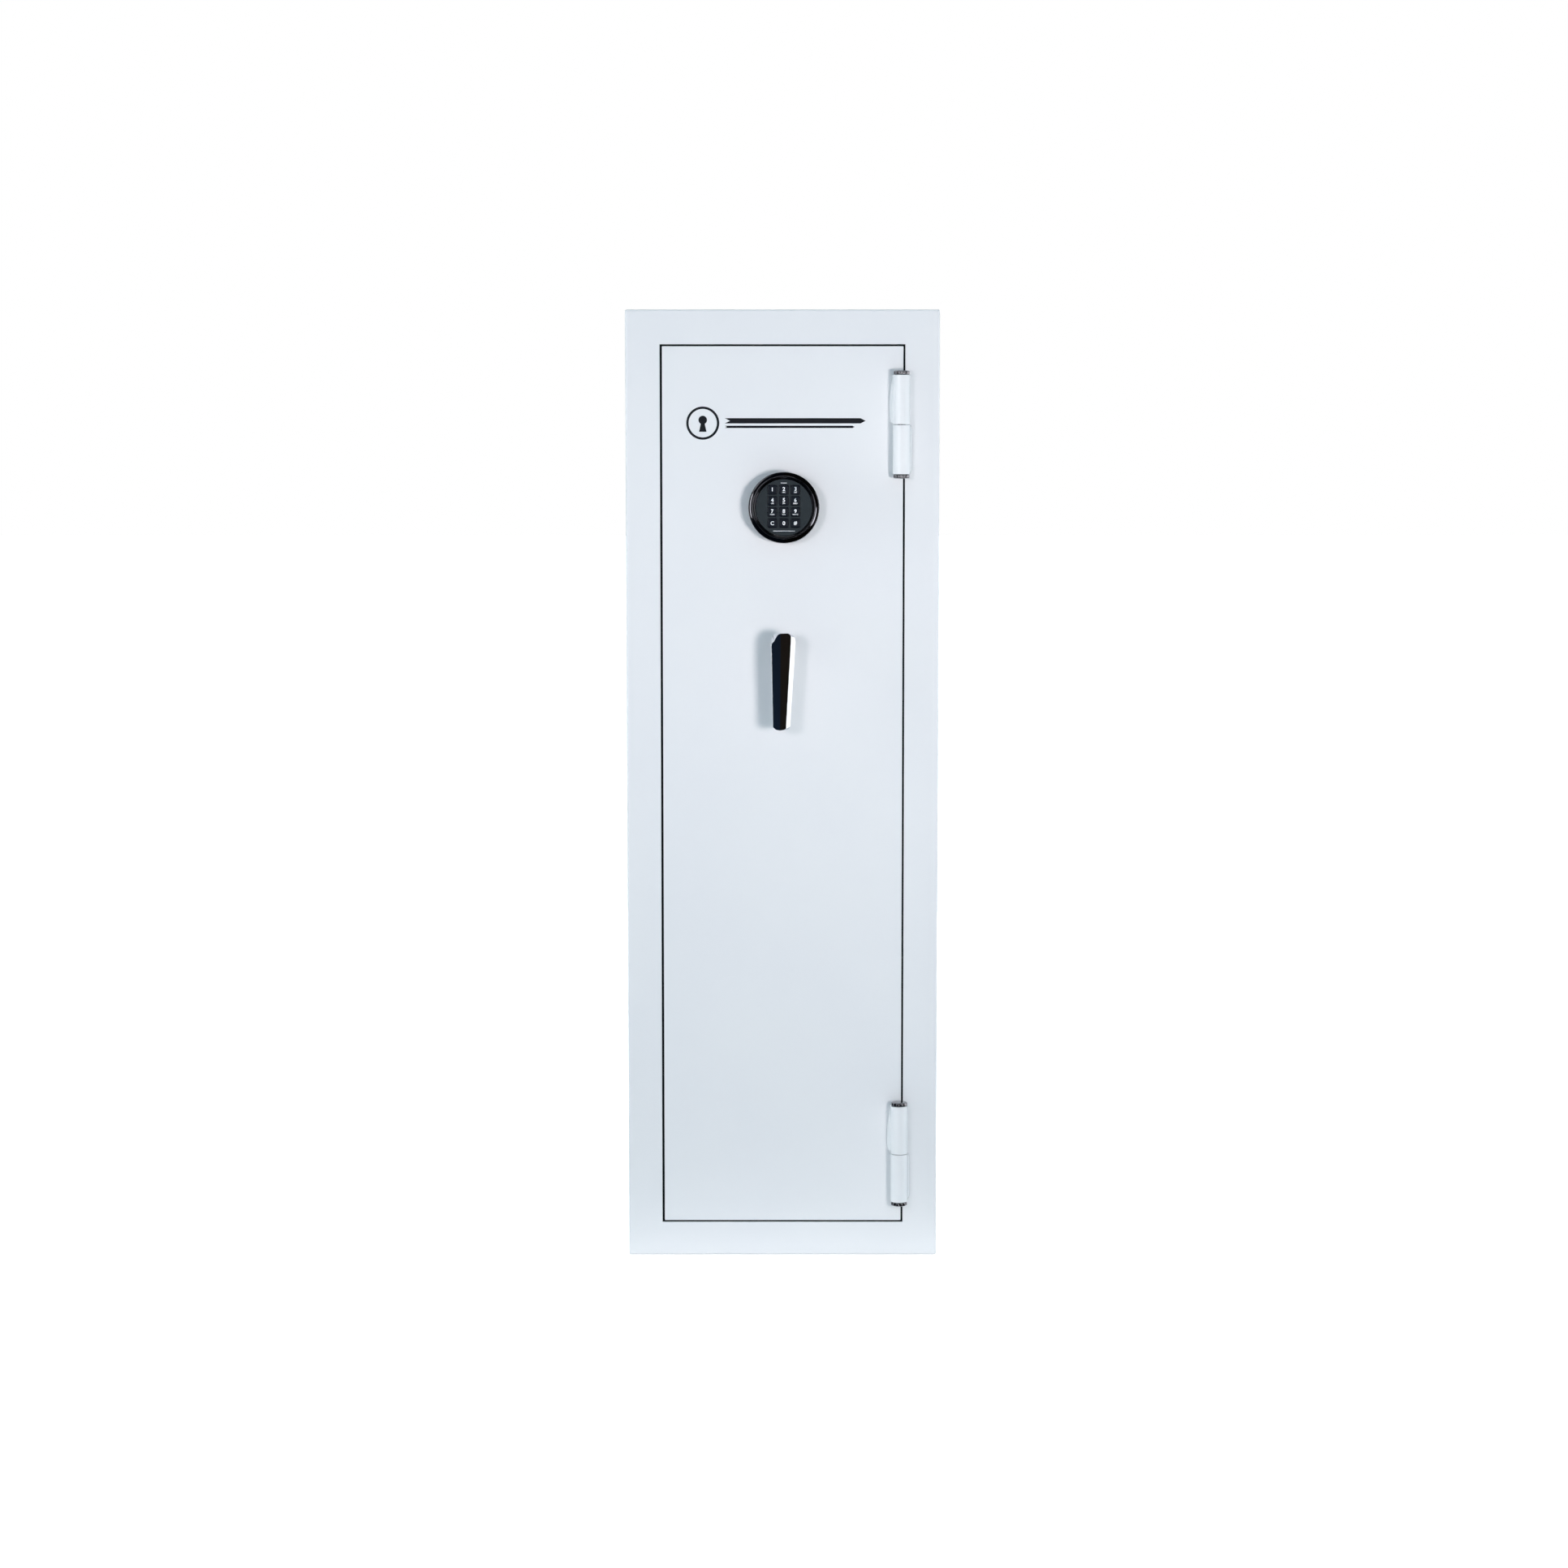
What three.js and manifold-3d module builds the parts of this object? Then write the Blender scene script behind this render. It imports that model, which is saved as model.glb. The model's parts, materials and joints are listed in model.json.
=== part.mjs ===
// Gun safe: a narrow steel cabinet with one flush door on two external barrel hinges, a round
// electronic keypad, a lever handle and a sliding boltwork behind the door.
// Millimetres. Origin: centre of the base. +X to the viewer's right, -Y out of the door, +Z up.
import * as THREE from "three";
import { mergeVertices } from "three/addons/utils/BufferGeometryUtils.js";
import Module from "manifold-3d";

const wasm = await Module();
wasm.setup();

// ---------- driving dimensions ----------
const WIDTH = 457;
const DEPTH = 445;
const HEIGHT = 1397;
const SHEET = 3;
const GAP = 0.3;
const FRONT = -DEPTH / 2;
const BACK = DEPTH / 2;
const SIDE = WIDTH / 2;

// front frame: a folded section, measured inward from the outer edge and back from the face
const FACE_WIDTH = 50;
const REBATE_DEPTH = 11;
const STOP_WIDTH = 14;
const FRAME_DEPTH = 45;
const MITRE_GAP = 0.2;

// lining
const BOARD = 12;
const LINER = 4;
const BOARD_OUT = SIDE - SHEET - GAP;
const BOARD_IN = BOARD_OUT - BOARD;
const LINER_OUT = BOARD_IN - GAP;
const ROOM_X = LINER_OUT - LINER;
const ROOM_FRONT = FRONT + FRAME_DEPTH + GAP;
const ROOM_BACK = BACK - SHEET - 2 * GAP - BOARD - LINER;
const ROOM_FLOOR = SHEET + 2 * GAP + BOARD + LINER;
const ROOM_TOP = HEIGHT - ROOM_FLOOR;

// fittings inside the cabinet
const SHELF_TOP = 1120;
const SHELF_THICK = 16;
const SHELF_FRONT = -128;
const RAIL_WIDTH = 20;
const RAIL_SHEET = 2;
const RACK_BASE = 990;
const RACK_THICK = 18;
const RACK_DEPTH = 52;
const NOTCH_RADIUS = 16;
const NOTCH_DEPTH = 34;
const NOTCH_COUNT = 5;
const NOTCH_PITCH = 76;
const ANCHOR_RADIUS = 6.5;
const ANCHOR_X = 150;
const ANCHOR_Y = 140;

// door
const DOOR_X = [-175.5, 176];
const DOOR_Z = [52.5, 1344.5];
const PLATE = 6;
const PAN_X = [-148.5, 160];
const PAN_Z = [68, 1329];
const PAN_SHEET = 2.5;
const PAN_LIP = 10;
const PAN_BACK = -145.3;
const TRIM = 4;
const PLATE_BACK = FRONT + PLATE;
const BOARD_BACK = PLATE_BACK + GAP + BOARD;
const HARD_PLATE = 6;
const HARD_HALF = 45;
const HARD_Z = [885, 1085];
const DEAD_BAR_TIP = 178.7;
const DEAD_BAR_Y = [-176, -168];
const DEAD_BAR_Z = [150, 1247];
const HARD_BACK = BOARD_BACK + GAP + HARD_PLATE;

// hinges
const HINGE_X = 172.7;
const HINGE_Y = -235.5;
const HINGE_JOINTS = { upper: 1231, lower: 156 };
const HINGE_RADIUS = 12.5;
const HINGE_HALF = 78;
const CAP_HEIGHT = 6;
const CAP_RADIUS = 12;
const PIN_RADIUS = 6;
const FLAG_REACH = 16.5;
const FLAG_INSIDE = 6.3;

// the keypad, the handle and the lock share one vertical centre line
const LOCK_X = 2;

// keypad
const KEYPAD_Z = 1109.2;
const KEYPAD_RADIUS = 51.5;
const KEYPAD_PROUD = 30;
const DISC_RADIUS = 41.4;
const DISC_RISE = 2.2;
const DISC_EASE = 0.5;
const DISC_THICK = 4;
const DISC_SUNK = 3.5;
const KEY_SIZE = 13.4;
const KEY_CORNER = 2;
const KEY_PITCH_X = 16.75;
const KEY_PITCH_Z = 16.1;
const KEY_RISE = 3.6;
const KEY_FRONT = -28;
const KEY_THICK = 6;
const KEY_CLEAR = 0.3;
const CABLE_RADIUS = 2.5;
const CABLE_HOLE = 6;
const BATTERY_X = [-24.25, 24.25];
const BATTERY_Y = [-20.2, -2.7];
const BATTERY_Z = [-31, -4.5];
// rim profile: [inward from the rim, share of the full height]
const RIM_ROLL = [[0, 0.55], [0.7, 0.75], [2.4, 0.91], [4.4, 0.99], [5.6, 1]];
const RIM_INNER_WIDTH = 2.4;
const RIM_INNER_DROP = 3;
// cable route on the keypad's own axes, as [y, z], from the battery box to above the lock
const CABLE_ROUTE = [[-19.5, 1], [-10, 1], [10, 0.5], [26, -1.5], [37, -8], [42, -19], [43, -29]];

// handle and spindle
const HANDLE_Z = 913;
const LEVER_TOP = 16.7;
const LEVER_BOTTOM = -125;
const LEVER_TOP_WIDTH = 35.2;
const LEVER_BOTTOM_WIDTH = 25.1;
const LEVER_THICK = 18;
const LEVER_BEVEL = 4.5;
const LEVER_STAND_OFF = 35;
const LEVER_CORNER = 5;
const LEVER_SAG = 3;
const LEVER_LEAN = THREE.MathUtils.degToRad(1.3);
const NECK_RADIUS = 12;
const SPINDLE_RADIUS = 6;
const SPINDLE_BORE = 6.3;
const BUSHING_RADIUS = 9.7;
const BUSHING_HOLE = 10;
const ROSE_RADIUS = 14;
const ROSE_THICK = 3;
const CRANK_RADIUS = 20;
const CRANK_PIN_RADIUS = 4;
const CRANK_Y = [-168, -162];
const CRANK_HUB_RADIUS = 11;
const CRANK_END_RADIUS = 7;
const CRANK_PIN_TOP = -153.5;

// boltwork
const BOLT_RADIUS = 12.5;
const BOLT_Y = -163.5;
const BOLT_HEIGHTS = { upper: 1150, middle: 700, lower: 240 };
const BOLT_TIP = -149;
const BAR_X = [-100, -94];
const BAR_Y = [-176, -151];
const BAR_Z = [210, 1180];
const DRIVE_Y = [-160, -155];
const DRIVE_Z = [875, 970];
const RAMP_Z = 950;
const RAMP_Y = -171;
const SLOT_HALF = 4.9;
const SLOT_SPARE = 3;
const GUIDE_X = -134;
const LOCK_TRAVEL = 9;
const PLATE_MARGIN = 22;
const THROW = 2 * CRANK_RADIUS * Math.SQRT1_2;
const LOCK_BOLT_HALF = 6;
const LOCK_BOLT_BASE = 986;
const LOCK_BOLT_LENGTH = 38;
const LOCK_BOLT_Y = [-174, -162];
const LOCK_HALF = 31;
const LOCK_BACK = -158.6;
const LOCK_Z = [989, 1071];
const LOCK_POCKET_TOP = 1030;
const RAMP_GAP = 0.6;
const RAMP_LEAD = 2;
const GUIDE_FOOT = 24;
const GUIDE_BACK = -149;
const GUIDE_MARGIN = 20;

// ---------- materials ----------
function paint(name, color, roughness = 0.45, metalness = 0) {
  return new THREE.MeshStandardMaterial({ name, color, roughness, metalness });
}
const PAINT = paint("powder_coat", 0xe3e9ee);
const FIREBOARD = paint("fireboard", 0xd8d2c4, 0.95);
const LINING = paint("grey_felt", 0x6d7278, 1);
const CARPET = paint("carpet", 0x4b4f54, 1);
const STEEL = paint("bare_steel", 0x9aa0a5, 0.4, 1);
const CHROME = paint("chrome", 0xd8dade, 0.08, 1);
const BLACK_CHROME = paint("black_chrome", 0x17181a, 0.12, 1);
const PLASTIC = paint("grey_plastic", 0x32363a, 0.55);
const KEY_RUBBER = paint("key_rubber", 0x1d232c, 0.5);
const ZINC = paint("zinc_case", 0xb9b5a2, 0.45, 1);
const CABLE = paint("cable_jacket", 0x1a1a1c, 0.5);

// ---------- geometry helpers ----------
const middle = ([low, high]) => (low + high) / 2;
const extent = ([low, high]) => high - low;

function block(x, y, z) {
  const geometry = new THREE.BoxGeometry(extent(x), extent(y), extent(z));
  return geometry.translate(middle(x), middle(y), middle(z));
}

function rodX(radius, x, y, z, sides = 32) {
  const geometry = new THREE.CylinderGeometry(radius, radius, extent(x), sides).rotateZ(Math.PI / 2);
  return geometry.translate(middle(x), y, z);
}

function rodY(radius, x, y, z, sides = 32) {
  const geometry = new THREE.CylinderGeometry(radius, radius, extent(y), sides);
  return geometry.translate(x, middle(y), z);
}

function rodZ(radius, x, y, z, sides = 32) {
  const geometry = new THREE.CylinderGeometry(radius, radius, extent(z), sides).rotateX(Math.PI / 2);
  return geometry.translate(x, y, middle(z));
}

// an outline in x and z, pushed along y
function prismY(shape, y, options = {}) {
  const settings = { depth: extent(y), bevelEnabled: false, curveSegments: 8, ...options };
  return new THREE.ExtrudeGeometry(shape, settings).rotateX(Math.PI / 2).translate(0, y[1], 0);
}

// an outline in x and y, pushed along z
function prismZ(shape, z, curveSegments = 8) {
  const settings = { depth: extent(z), bevelEnabled: false, curveSegments };
  return new THREE.ExtrudeGeometry(shape, settings).translate(0, 0, z[0]);
}

function toSolid(geometry) {
  const flat = geometry.index ? geometry.toNonIndexed() : geometry.clone();
  flat.deleteAttribute("normal");
  flat.deleteAttribute("uv");
  const merged = mergeVertices(flat, 1e-3);
  const vertProperties = new Float32Array(merged.attributes.position.array);
  const triVerts = new Uint32Array(merged.index.array);
  return new wasm.Manifold(new wasm.Mesh({ numProp: 3, vertProperties, triVerts }));
}

function toGeometry(manifold) {
  const mesh = manifold.getMesh();
  const geometry = new THREE.BufferGeometry();
  geometry.setAttribute("position", new THREE.BufferAttribute(new Float32Array(mesh.vertProperties), 3));
  geometry.setIndex(new THREE.BufferAttribute(new Uint32Array(mesh.triVerts), 1));
  return geometry;
}

function join(...pieces) {
  return toGeometry(pieces.map(toSolid).reduce((whole, piece) => whole.add(piece)));
}

function cut(piece, ...tools) {
  return toGeometry(tools.map(toSolid).reduce((whole, tool) => whole.subtract(tool), toSolid(piece)));
}

function addPiece(group, name, geometry, material) {
  const mesh = new THREE.Mesh(geometry, material.clone());
  mesh.name = name;
  group.add(mesh);
  return mesh;
}

function outline(points) {
  const shape = new THREE.Shape();
  points.forEach(([u, v], i) => (i ? shape.lineTo(u, v) : shape.moveTo(u, v)));
  shape.closePath();
  return shape;
}

function roundedSquare(target, cx, cy, size, corner) {
  const half = size / 2;
  const inner = half - corner;
  target.moveTo(cx - inner, cy - half);
  target.lineTo(cx + inner, cy - half);
  target.absarc(cx + inner, cy - inner, corner, -Math.PI / 2, 0);
  target.absarc(cx + inner, cy + inner, corner, 0, Math.PI / 2);
  target.absarc(cx - inner, cy + inner, corner, Math.PI / 2, Math.PI);
  target.absarc(cx - inner, cy - inner, corner, Math.PI, 1.5 * Math.PI);
  return target;
}

// ---------- cabinet ----------
function frameMember(length) {
  const face = FACE_WIDTH;
  const stop = FACE_WIDTH + STOP_WIDTH;
  const flangeEnd = SIDE - LINER_OUT;
  const stopFront = REBATE_DEPTH - SHEET;
  const section = outline([
    [0, 0], [face, 0], [face, stopFront], [stop, stopFront], [stop, FRAME_DEPTH],
    [flangeEnd, FRAME_DEPTH], [flangeEnd, FRAME_DEPTH - SHEET], [stop - SHEET, FRAME_DEPTH - SHEET],
    [stop - SHEET, REBATE_DEPTH], [face - SHEET, REBATE_DEPTH], [face - SHEET, SHEET], [0, SHEET],
  ]);
  const geometry = prismZ(section, [-1, 1]);
  const position = geometry.attributes.position;
  for (let i = 0; i < position.count; i += 1) {
    const reach = length / 2 - MITRE_GAP - position.getX(i);
    position.setZ(i, Math.sign(position.getZ(i)) * reach);
  }
  return geometry;
}

function addFrontFrame(group) {
  const quarter = Math.PI / 2;
  const places = [
    ["frame_left_member", HEIGHT, 0, [-SIDE, FRONT, HEIGHT / 2]],
    ["frame_right_member", HEIGHT, 2 * quarter, [SIDE, FRONT, HEIGHT / 2]],
    ["frame_top_member", WIDTH, quarter, [0, FRONT, HEIGHT]],
    ["frame_bottom_member", WIDTH, -quarter, [0, FRONT, 0]],
  ];
  for (const [name, length, turn, place] of places) {
    const member = addPiece(group, name, frameMember(length), PAINT);
    member.rotation.y = turn;
    member.position.set(...place);
  }
}

function addPanels(group) {
  const inside = SIDE - SHEET;
  const behindFrame = [FRONT + SHEET + GAP, BACK];
  const betweenSides = [-inside + GAP, inside - GAP];
  const deck = [behindFrame[0], BACK - SHEET - GAP];
  addPiece(group, "side_panel_left", block([-SIDE, -inside], behindFrame, [0, HEIGHT]), PAINT);
  addPiece(group, "side_panel_right", block([inside, SIDE], behindFrame, [0, HEIGHT]), PAINT);
  addPiece(group, "back_panel", block(betweenSides, [BACK - SHEET, BACK], [0, HEIGHT]), PAINT);
  addPiece(group, "top_panel", block(betweenSides, deck, [HEIGHT - SHEET, HEIGHT]), PAINT);
  const anchors = [];
  for (const x of [-ANCHOR_X, ANCHOR_X]) {
    for (const y of [-ANCHOR_Y, ANCHOR_Y]) {
      anchors.push(rodZ(ANCHOR_RADIUS, x, y, [-SHEET, 2 * SHEET], 24));
    }
  }
  addPiece(group, "floor_panel", cut(block(betweenSides, deck, [0, SHEET]), ...anchors), PAINT);
}

function addLining(group) {
  const boardLow = SHEET + GAP;
  const shell = block(
    [-BOARD_OUT, BOARD_OUT],
    [FRONT + SHEET + GAP, BACK - SHEET - GAP],
    [boardLow, HEIGHT - boardLow],
  );
  const room = block(
    [-BOARD_IN, BOARD_IN],
    [FRONT - SHEET, BACK - SHEET - GAP - BOARD],
    [boardLow + BOARD, HEIGHT - boardLow - BOARD],
  );
  addPiece(group, "body_fireboard", cut(shell, room), FIREBOARD);

  const low = boardLow + BOARD + GAP;
  const wallZ = [low, HEIGHT - low];
  const sideY = [ROOM_FRONT, ROOM_BACK + LINER];
  const roomX = [-ROOM_X + GAP, ROOM_X - GAP];
  const deckY = [ROOM_FRONT, ROOM_BACK - GAP];
  addPiece(group, "liner_left", block([-LINER_OUT, -ROOM_X], sideY, wallZ), LINING);
  addPiece(group, "liner_right", block([ROOM_X, LINER_OUT], sideY, wallZ), LINING);
  addPiece(group, "liner_back", block(roomX, [ROOM_BACK, ROOM_BACK + LINER], wallZ), LINING);
  addPiece(group, "liner_ceiling", block(roomX, deckY, [ROOM_TOP, ROOM_TOP + LINER]), LINING);
  addPiece(group, "floor_carpet", block(roomX, deckY, [ROOM_FLOOR - LINER, ROOM_FLOOR]), CARPET);
}

function addShelf(group) {
  const reach = ROOM_X - 2 * GAP;
  const back = ROOM_BACK - GAP;
  const shelfBase = SHELF_TOP - SHELF_THICK;
  const shelf = block([-reach, reach], [SHELF_FRONT, back], [shelfBase, SHELF_TOP]);
  addPiece(group, "shelf", shelf, LINING);
  const top = shelfBase - GAP;
  for (const [name, side] of [["shelf_rail_left", -1], ["shelf_rail_right", 1]]) {
    const wall = side * (ROOM_X - GAP);
    const leg = wall - side * RAIL_SHEET;
    const edge = wall - side * RAIL_WIDTH;
    const section = outline([
      [wall, top], [edge, top], [edge, top - RAIL_SHEET],
      [leg, top - RAIL_SHEET], [leg, top - RAIL_WIDTH], [wall, top - RAIL_WIDTH],
    ]);
    addPiece(group, name, prismY(section, [SHELF_FRONT, back]), PAINT);
  }
}

function addBarrelRack(group) {
  const half = ROOM_X - LINER;
  const back = ROOM_BACK - GAP;
  const front = back - RACK_DEPTH;
  const centreY = front + NOTCH_DEPTH - NOTCH_RADIUS;
  const shape = new THREE.Shape();
  shape.moveTo(-half, back);
  shape.lineTo(-half, front);
  for (let i = 0; i < NOTCH_COUNT; i += 1) {
    const x = (i - (NOTCH_COUNT - 1) / 2) * NOTCH_PITCH;
    shape.lineTo(x - NOTCH_RADIUS, front);
    shape.absarc(x, centreY, NOTCH_RADIUS, Math.PI, 0, true);
    shape.lineTo(x + NOTCH_RADIUS, front);
  }
  shape.lineTo(half, front);
  shape.lineTo(half, back);
  addPiece(group, "barrel_rack", prismZ(shape, [RACK_BASE, RACK_BASE + RACK_THICK], 6), LINING);
}

// ---------- hinges ----------
// barrel with a welded flag on one side: side -1 lies on the door, side 1 on the frame
function knuckle(side, z) {
  const inside = side * FLAG_INSIDE;
  const meet = Math.sqrt(HINGE_RADIUS ** 2 - FLAG_INSIDE ** 2);
  const seat = FRONT - GAP - HINGE_Y;
  const flag = outline([
    [0, 0], [side * HINGE_RADIUS, 0], [side * FLAG_REACH, seat], [inside, seat], [inside, meet],
  ]);
  const barrel = rodZ(HINGE_RADIUS, 0, 0, z);
  const bore = rodZ(PIN_RADIUS + GAP, 0, 0, [z[0] - 1, z[1] + 1], 24);
  return cut(join(barrel, prismZ(flag, z)), bore);
}

function hingePin(low, top) {
  const head = rodZ(CAP_RADIUS, 0, 0, [low, low + CAP_HEIGHT]);
  return join(head, rodZ(PIN_RADIUS, 0, 0, [low + CAP_HEIGHT - 1, top], 24));
}

function addHinges(cabinet, door) {
  for (const [name, joint] of Object.entries(HINGE_JOINTS)) {
    const low = -HINGE_HALF + CAP_HEIGHT + GAP;
    const parts = [
      [cabinet, `${name}_hinge_frame_knuckle`, knuckle(1, [low, -GAP]), PAINT],
      [door, `${name}_hinge_door_knuckle`, knuckle(-1, [GAP, -low]), PAINT],
      [cabinet, `${name}_hinge_pin`, hingePin(-HINGE_HALF, -low - 1), CHROME],
      [door, `${name}_hinge_top_cap`, rodZ(CAP_RADIUS, 0, 0, [-low + GAP, HINGE_HALF]), CHROME],
    ];
    for (const [group, piece, geometry, material] of parts) {
      addPiece(group, piece, geometry, material).position.set(HINGE_X, HINGE_Y, joint);
    }
  }
}

// ---------- door ----------
function addDoorShell(group) {
  const through = [FRONT - PLATE, 0];
  const cableHole = rodY(CABLE_HOLE, LOCK_X, through, KEYPAD_Z, 24);
  const spindleHole = rodY(BUSHING_HOLE, LOCK_X, through, HANDLE_Z);
  const plate = block(DOOR_X, [FRONT, PLATE_BACK], DOOR_Z);
  addPiece(group, "door_plate", cut(plate, cableHole, spindleHole), PAINT);

  const skin = PAN_SHEET;
  const innerX = [PAN_X[0] + skin, PAN_X[1] - skin];
  const innerZ = [PAN_Z[0] + skin, PAN_Z[1] - skin];
  const shell = block(PAN_X, [PLATE_BACK + GAP, PAN_BACK], PAN_Z);
  const room = block(innerX, [FRONT, PAN_BACK - skin], innerZ);
  const window = block(
    [innerX[0] + PAN_LIP, innerX[1] - PAN_LIP],
    [PAN_BACK - 2 * skin, 0],
    [innerZ[0] + PAN_LIP, innerZ[1] - PAN_LIP],
  );
  const boltHoles = Object.values(BOLT_HEIGHTS).map((z) =>
    rodX(BOLT_RADIUS + 2 * GAP, [PAN_X[0] - 1, innerX[0] + 1], BOLT_Y, z));
  addPiece(group, "door_pan", cut(shell, room, window, ...boltHoles), PAINT);

  const boardX = [innerX[0] + GAP, innerX[1] - GAP];
  const boardZ = [innerZ[0] + GAP, innerZ[1] - GAP];
  const board = block(boardX, [PLATE_BACK + GAP, BOARD_BACK], boardZ);
  addPiece(group, "door_fireboard", cut(board, cableHole, spindleHole), FIREBOARD);

  const hardX = [LOCK_X - HARD_HALF, LOCK_X + HARD_HALF];
  const hard = block(hardX, [BOARD_BACK + GAP, HARD_BACK], HARD_Z);
  addPiece(group, "hard_plate", cut(hard, spindleHole), STEEL);

  const inset = PAN_SHEET / 2;
  const trim = block(
    [PAN_X[0] + inset, PAN_X[1] - inset],
    [PAN_BACK + GAP, PAN_BACK + GAP + TRIM],
    [PAN_Z[0] + inset, PAN_Z[1] - inset],
  );
  addPiece(group, "door_trim_panel", trim, LINING);
  const deadBar = block([PAN_X[1] + GAP, DEAD_BAR_TIP], DEAD_BAR_Y, DEAD_BAR_Z);
  addPiece(group, "dead_bar", deadBar, STEEL);
}

function addLockCase(group) {
  const body = block([-LOCK_HALF, LOCK_HALF], [HARD_BACK + GAP, LOCK_BACK], LOCK_Z);
  const reach = LOCK_BOLT_HALF + GAP;
  const pocketY = [LOCK_BOLT_Y[0] - GAP, LOCK_BOLT_Y[1] + GAP];
  const pocket = block([-reach, reach], pocketY, [LOCK_Z[0] - 1, LOCK_POCKET_TOP]);
  addPiece(group, "lock_case", cut(body, pocket), ZINC).position.x = LOCK_X;
}

function addBoltGuide(group) {
  const z = [BAR_Z[0] - GUIDE_MARGIN, BAR_Z[1] + GUIDE_MARGIN];
  const web = [GUIDE_X, GUIDE_X + SHEET];
  const foot = GUIDE_X + GUIDE_FOOT;
  const seat = BOARD_BACK + GAP;
  const section = outline([
    [web[0], seat], [foot, seat], [foot, seat + SHEET],
    [web[1], seat + SHEET], [web[1], GUIDE_BACK], [web[0], GUIDE_BACK],
  ]);
  const holes = Object.values(BOLT_HEIGHTS).map((height) =>
    rodX(BOLT_RADIUS + 2 * GAP, [web[0] - 1, web[1] + 1], BOLT_Y, height));
  addPiece(group, "bolt_guide_rail", cut(prismZ(section, z), ...holes), STEEL);
}

// ---------- keypad: local origin on the door's face, local -Y out of the door ----------
function keypadBezel() {
  const rim = KEYPAD_RADIUS;
  const well = DISC_RADIUS + GAP;
  const front = KEYPAD_PROUD;
  const roll = RIM_ROLL.map(([inward, share]) => [rim - inward, -share * front]);
  const profile = [
    [rim, -GAP], ...roll, [well + RIM_INNER_WIDTH, -front + GAP],
    [well, -front + RIM_INNER_DROP], [well, -GAP],
  ];
  const points = [...profile, profile[0]].reverse().map(([r, y]) => new THREE.Vector2(r, y));
  const ring = new THREE.LatheGeometry(points, 56);
  const position = ring.attributes.position;
  for (let i = 0; i < position.count; i += 1) {
    const rise = DISC_RISE * (-position.getY(i) / front);
    position.setZ(i, position.getZ(i) + rise);
  }
  return ring;
}

function keyPlaces() {
  const rows = [["key_1", "key_2", "key_3"], ["key_4", "key_5", "key_6"],
    ["key_7", "key_8", "key_9"], ["key_clear", "key_0", "key_enter"]];
  return rows.flatMap((row, j) => row.map((name, i) => ({
    name,
    x: (i - 1) * KEY_PITCH_X,
    z: KEY_RISE + (1.5 - j) * KEY_PITCH_Z,
  })));
}

function keypadDisc() {
  const sides = 56;
  const edge = Array.from({ length: sides }, (_, i) => {
    const angle = (i * 2 * Math.PI) / sides;
    const radius = DISC_RADIUS - DISC_EASE;
    return [radius * Math.cos(angle), DISC_RISE + radius * Math.sin(angle)];
  });
  const shape = outline(edge);
  for (const { x, z } of keyPlaces()) {
    const window = new THREE.Path();
    shape.holes.push(roundedSquare(window, x, z, KEY_SIZE + 2 * KEY_CLEAR, KEY_CORNER + KEY_CLEAR));
  }
  const back = -KEYPAD_PROUD + DISC_SUNK + DISC_THICK;
  return prismY(shape, [back - DISC_THICK, back], { curveSegments: 1 });
}

function keyCap() {
  const bevel = 0.6;
  const inset = KEY_SIZE - 2 * bevel;
  const shape = roundedSquare(new THREE.Shape(), 0, 0, inset, KEY_CORNER - bevel);
  const y = [KEY_FRONT + bevel, KEY_FRONT + KEY_THICK - bevel];
  return prismY(shape, y, {
    bevelEnabled: true, bevelSize: bevel, bevelThickness: bevel, bevelSegments: 1, curveSegments: 1,
  });
}

function keypadCable() {
  const lockTop = LOCK_Z[1] - KEYPAD_Z;
  const [lastY] = CABLE_ROUTE.at(-1);
  const route = new THREE.CatmullRomCurve3(
    [...CABLE_ROUTE, [lastY, lockTop + GAP]].map(([y, z]) => new THREE.Vector3(0, y, z)),
  );
  const section = new THREE.Shape().absarc(0, 0, CABLE_RADIUS, 0, 2 * Math.PI);
  return new THREE.ExtrudeGeometry(section, { steps: 22, curveSegments: 5, extrudePath: route });
}

function addKeypad(door, keypad, keys) {
  addPiece(keypad, "keypad_bezel", keypadBezel(), BLACK_CHROME);
  addPiece(keypad, "keypad_disc", keypadDisc(), PLASTIC);
  const battery = block(BATTERY_X, BATTERY_Y, BATTERY_Z);
  addPiece(keypad, "keypad_battery", battery, PLASTIC);
  addPiece(keypad, "keypad_cable", keypadCable(), CABLE);
  for (const { name, x, z } of keyPlaces()) {
    addPiece(keys, name, keyCap(), KEY_RUBBER).position.set(x, 0, z);
  }
  door.add(keypad, keys);
}

// ---------- handle: local origin on the spindle's axis ----------
function leverOutline() {
  const top = LEVER_TOP_WIDTH / 2 - LEVER_BEVEL;
  const low = LEVER_BOTTOM_WIDTH / 2 - LEVER_BEVEL;
  const high = LEVER_TOP - LEVER_BEVEL;
  const base = LEVER_BOTTOM + LEVER_BEVEL;
  const shape = new THREE.Shape();
  shape.moveTo(top, high - LEVER_CORNER);
  shape.quadraticCurveTo(top, high, top - LEVER_CORNER, high);
  shape.lineTo(-top + LEVER_CORNER, high);
  shape.quadraticCurveTo(-top, high, -top, high - LEVER_CORNER);
  shape.lineTo(-low, base + LEVER_SAG);
  shape.quadraticCurveTo(0, base - LEVER_SAG, low, base + LEVER_SAG);
  return shape;
}

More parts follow.
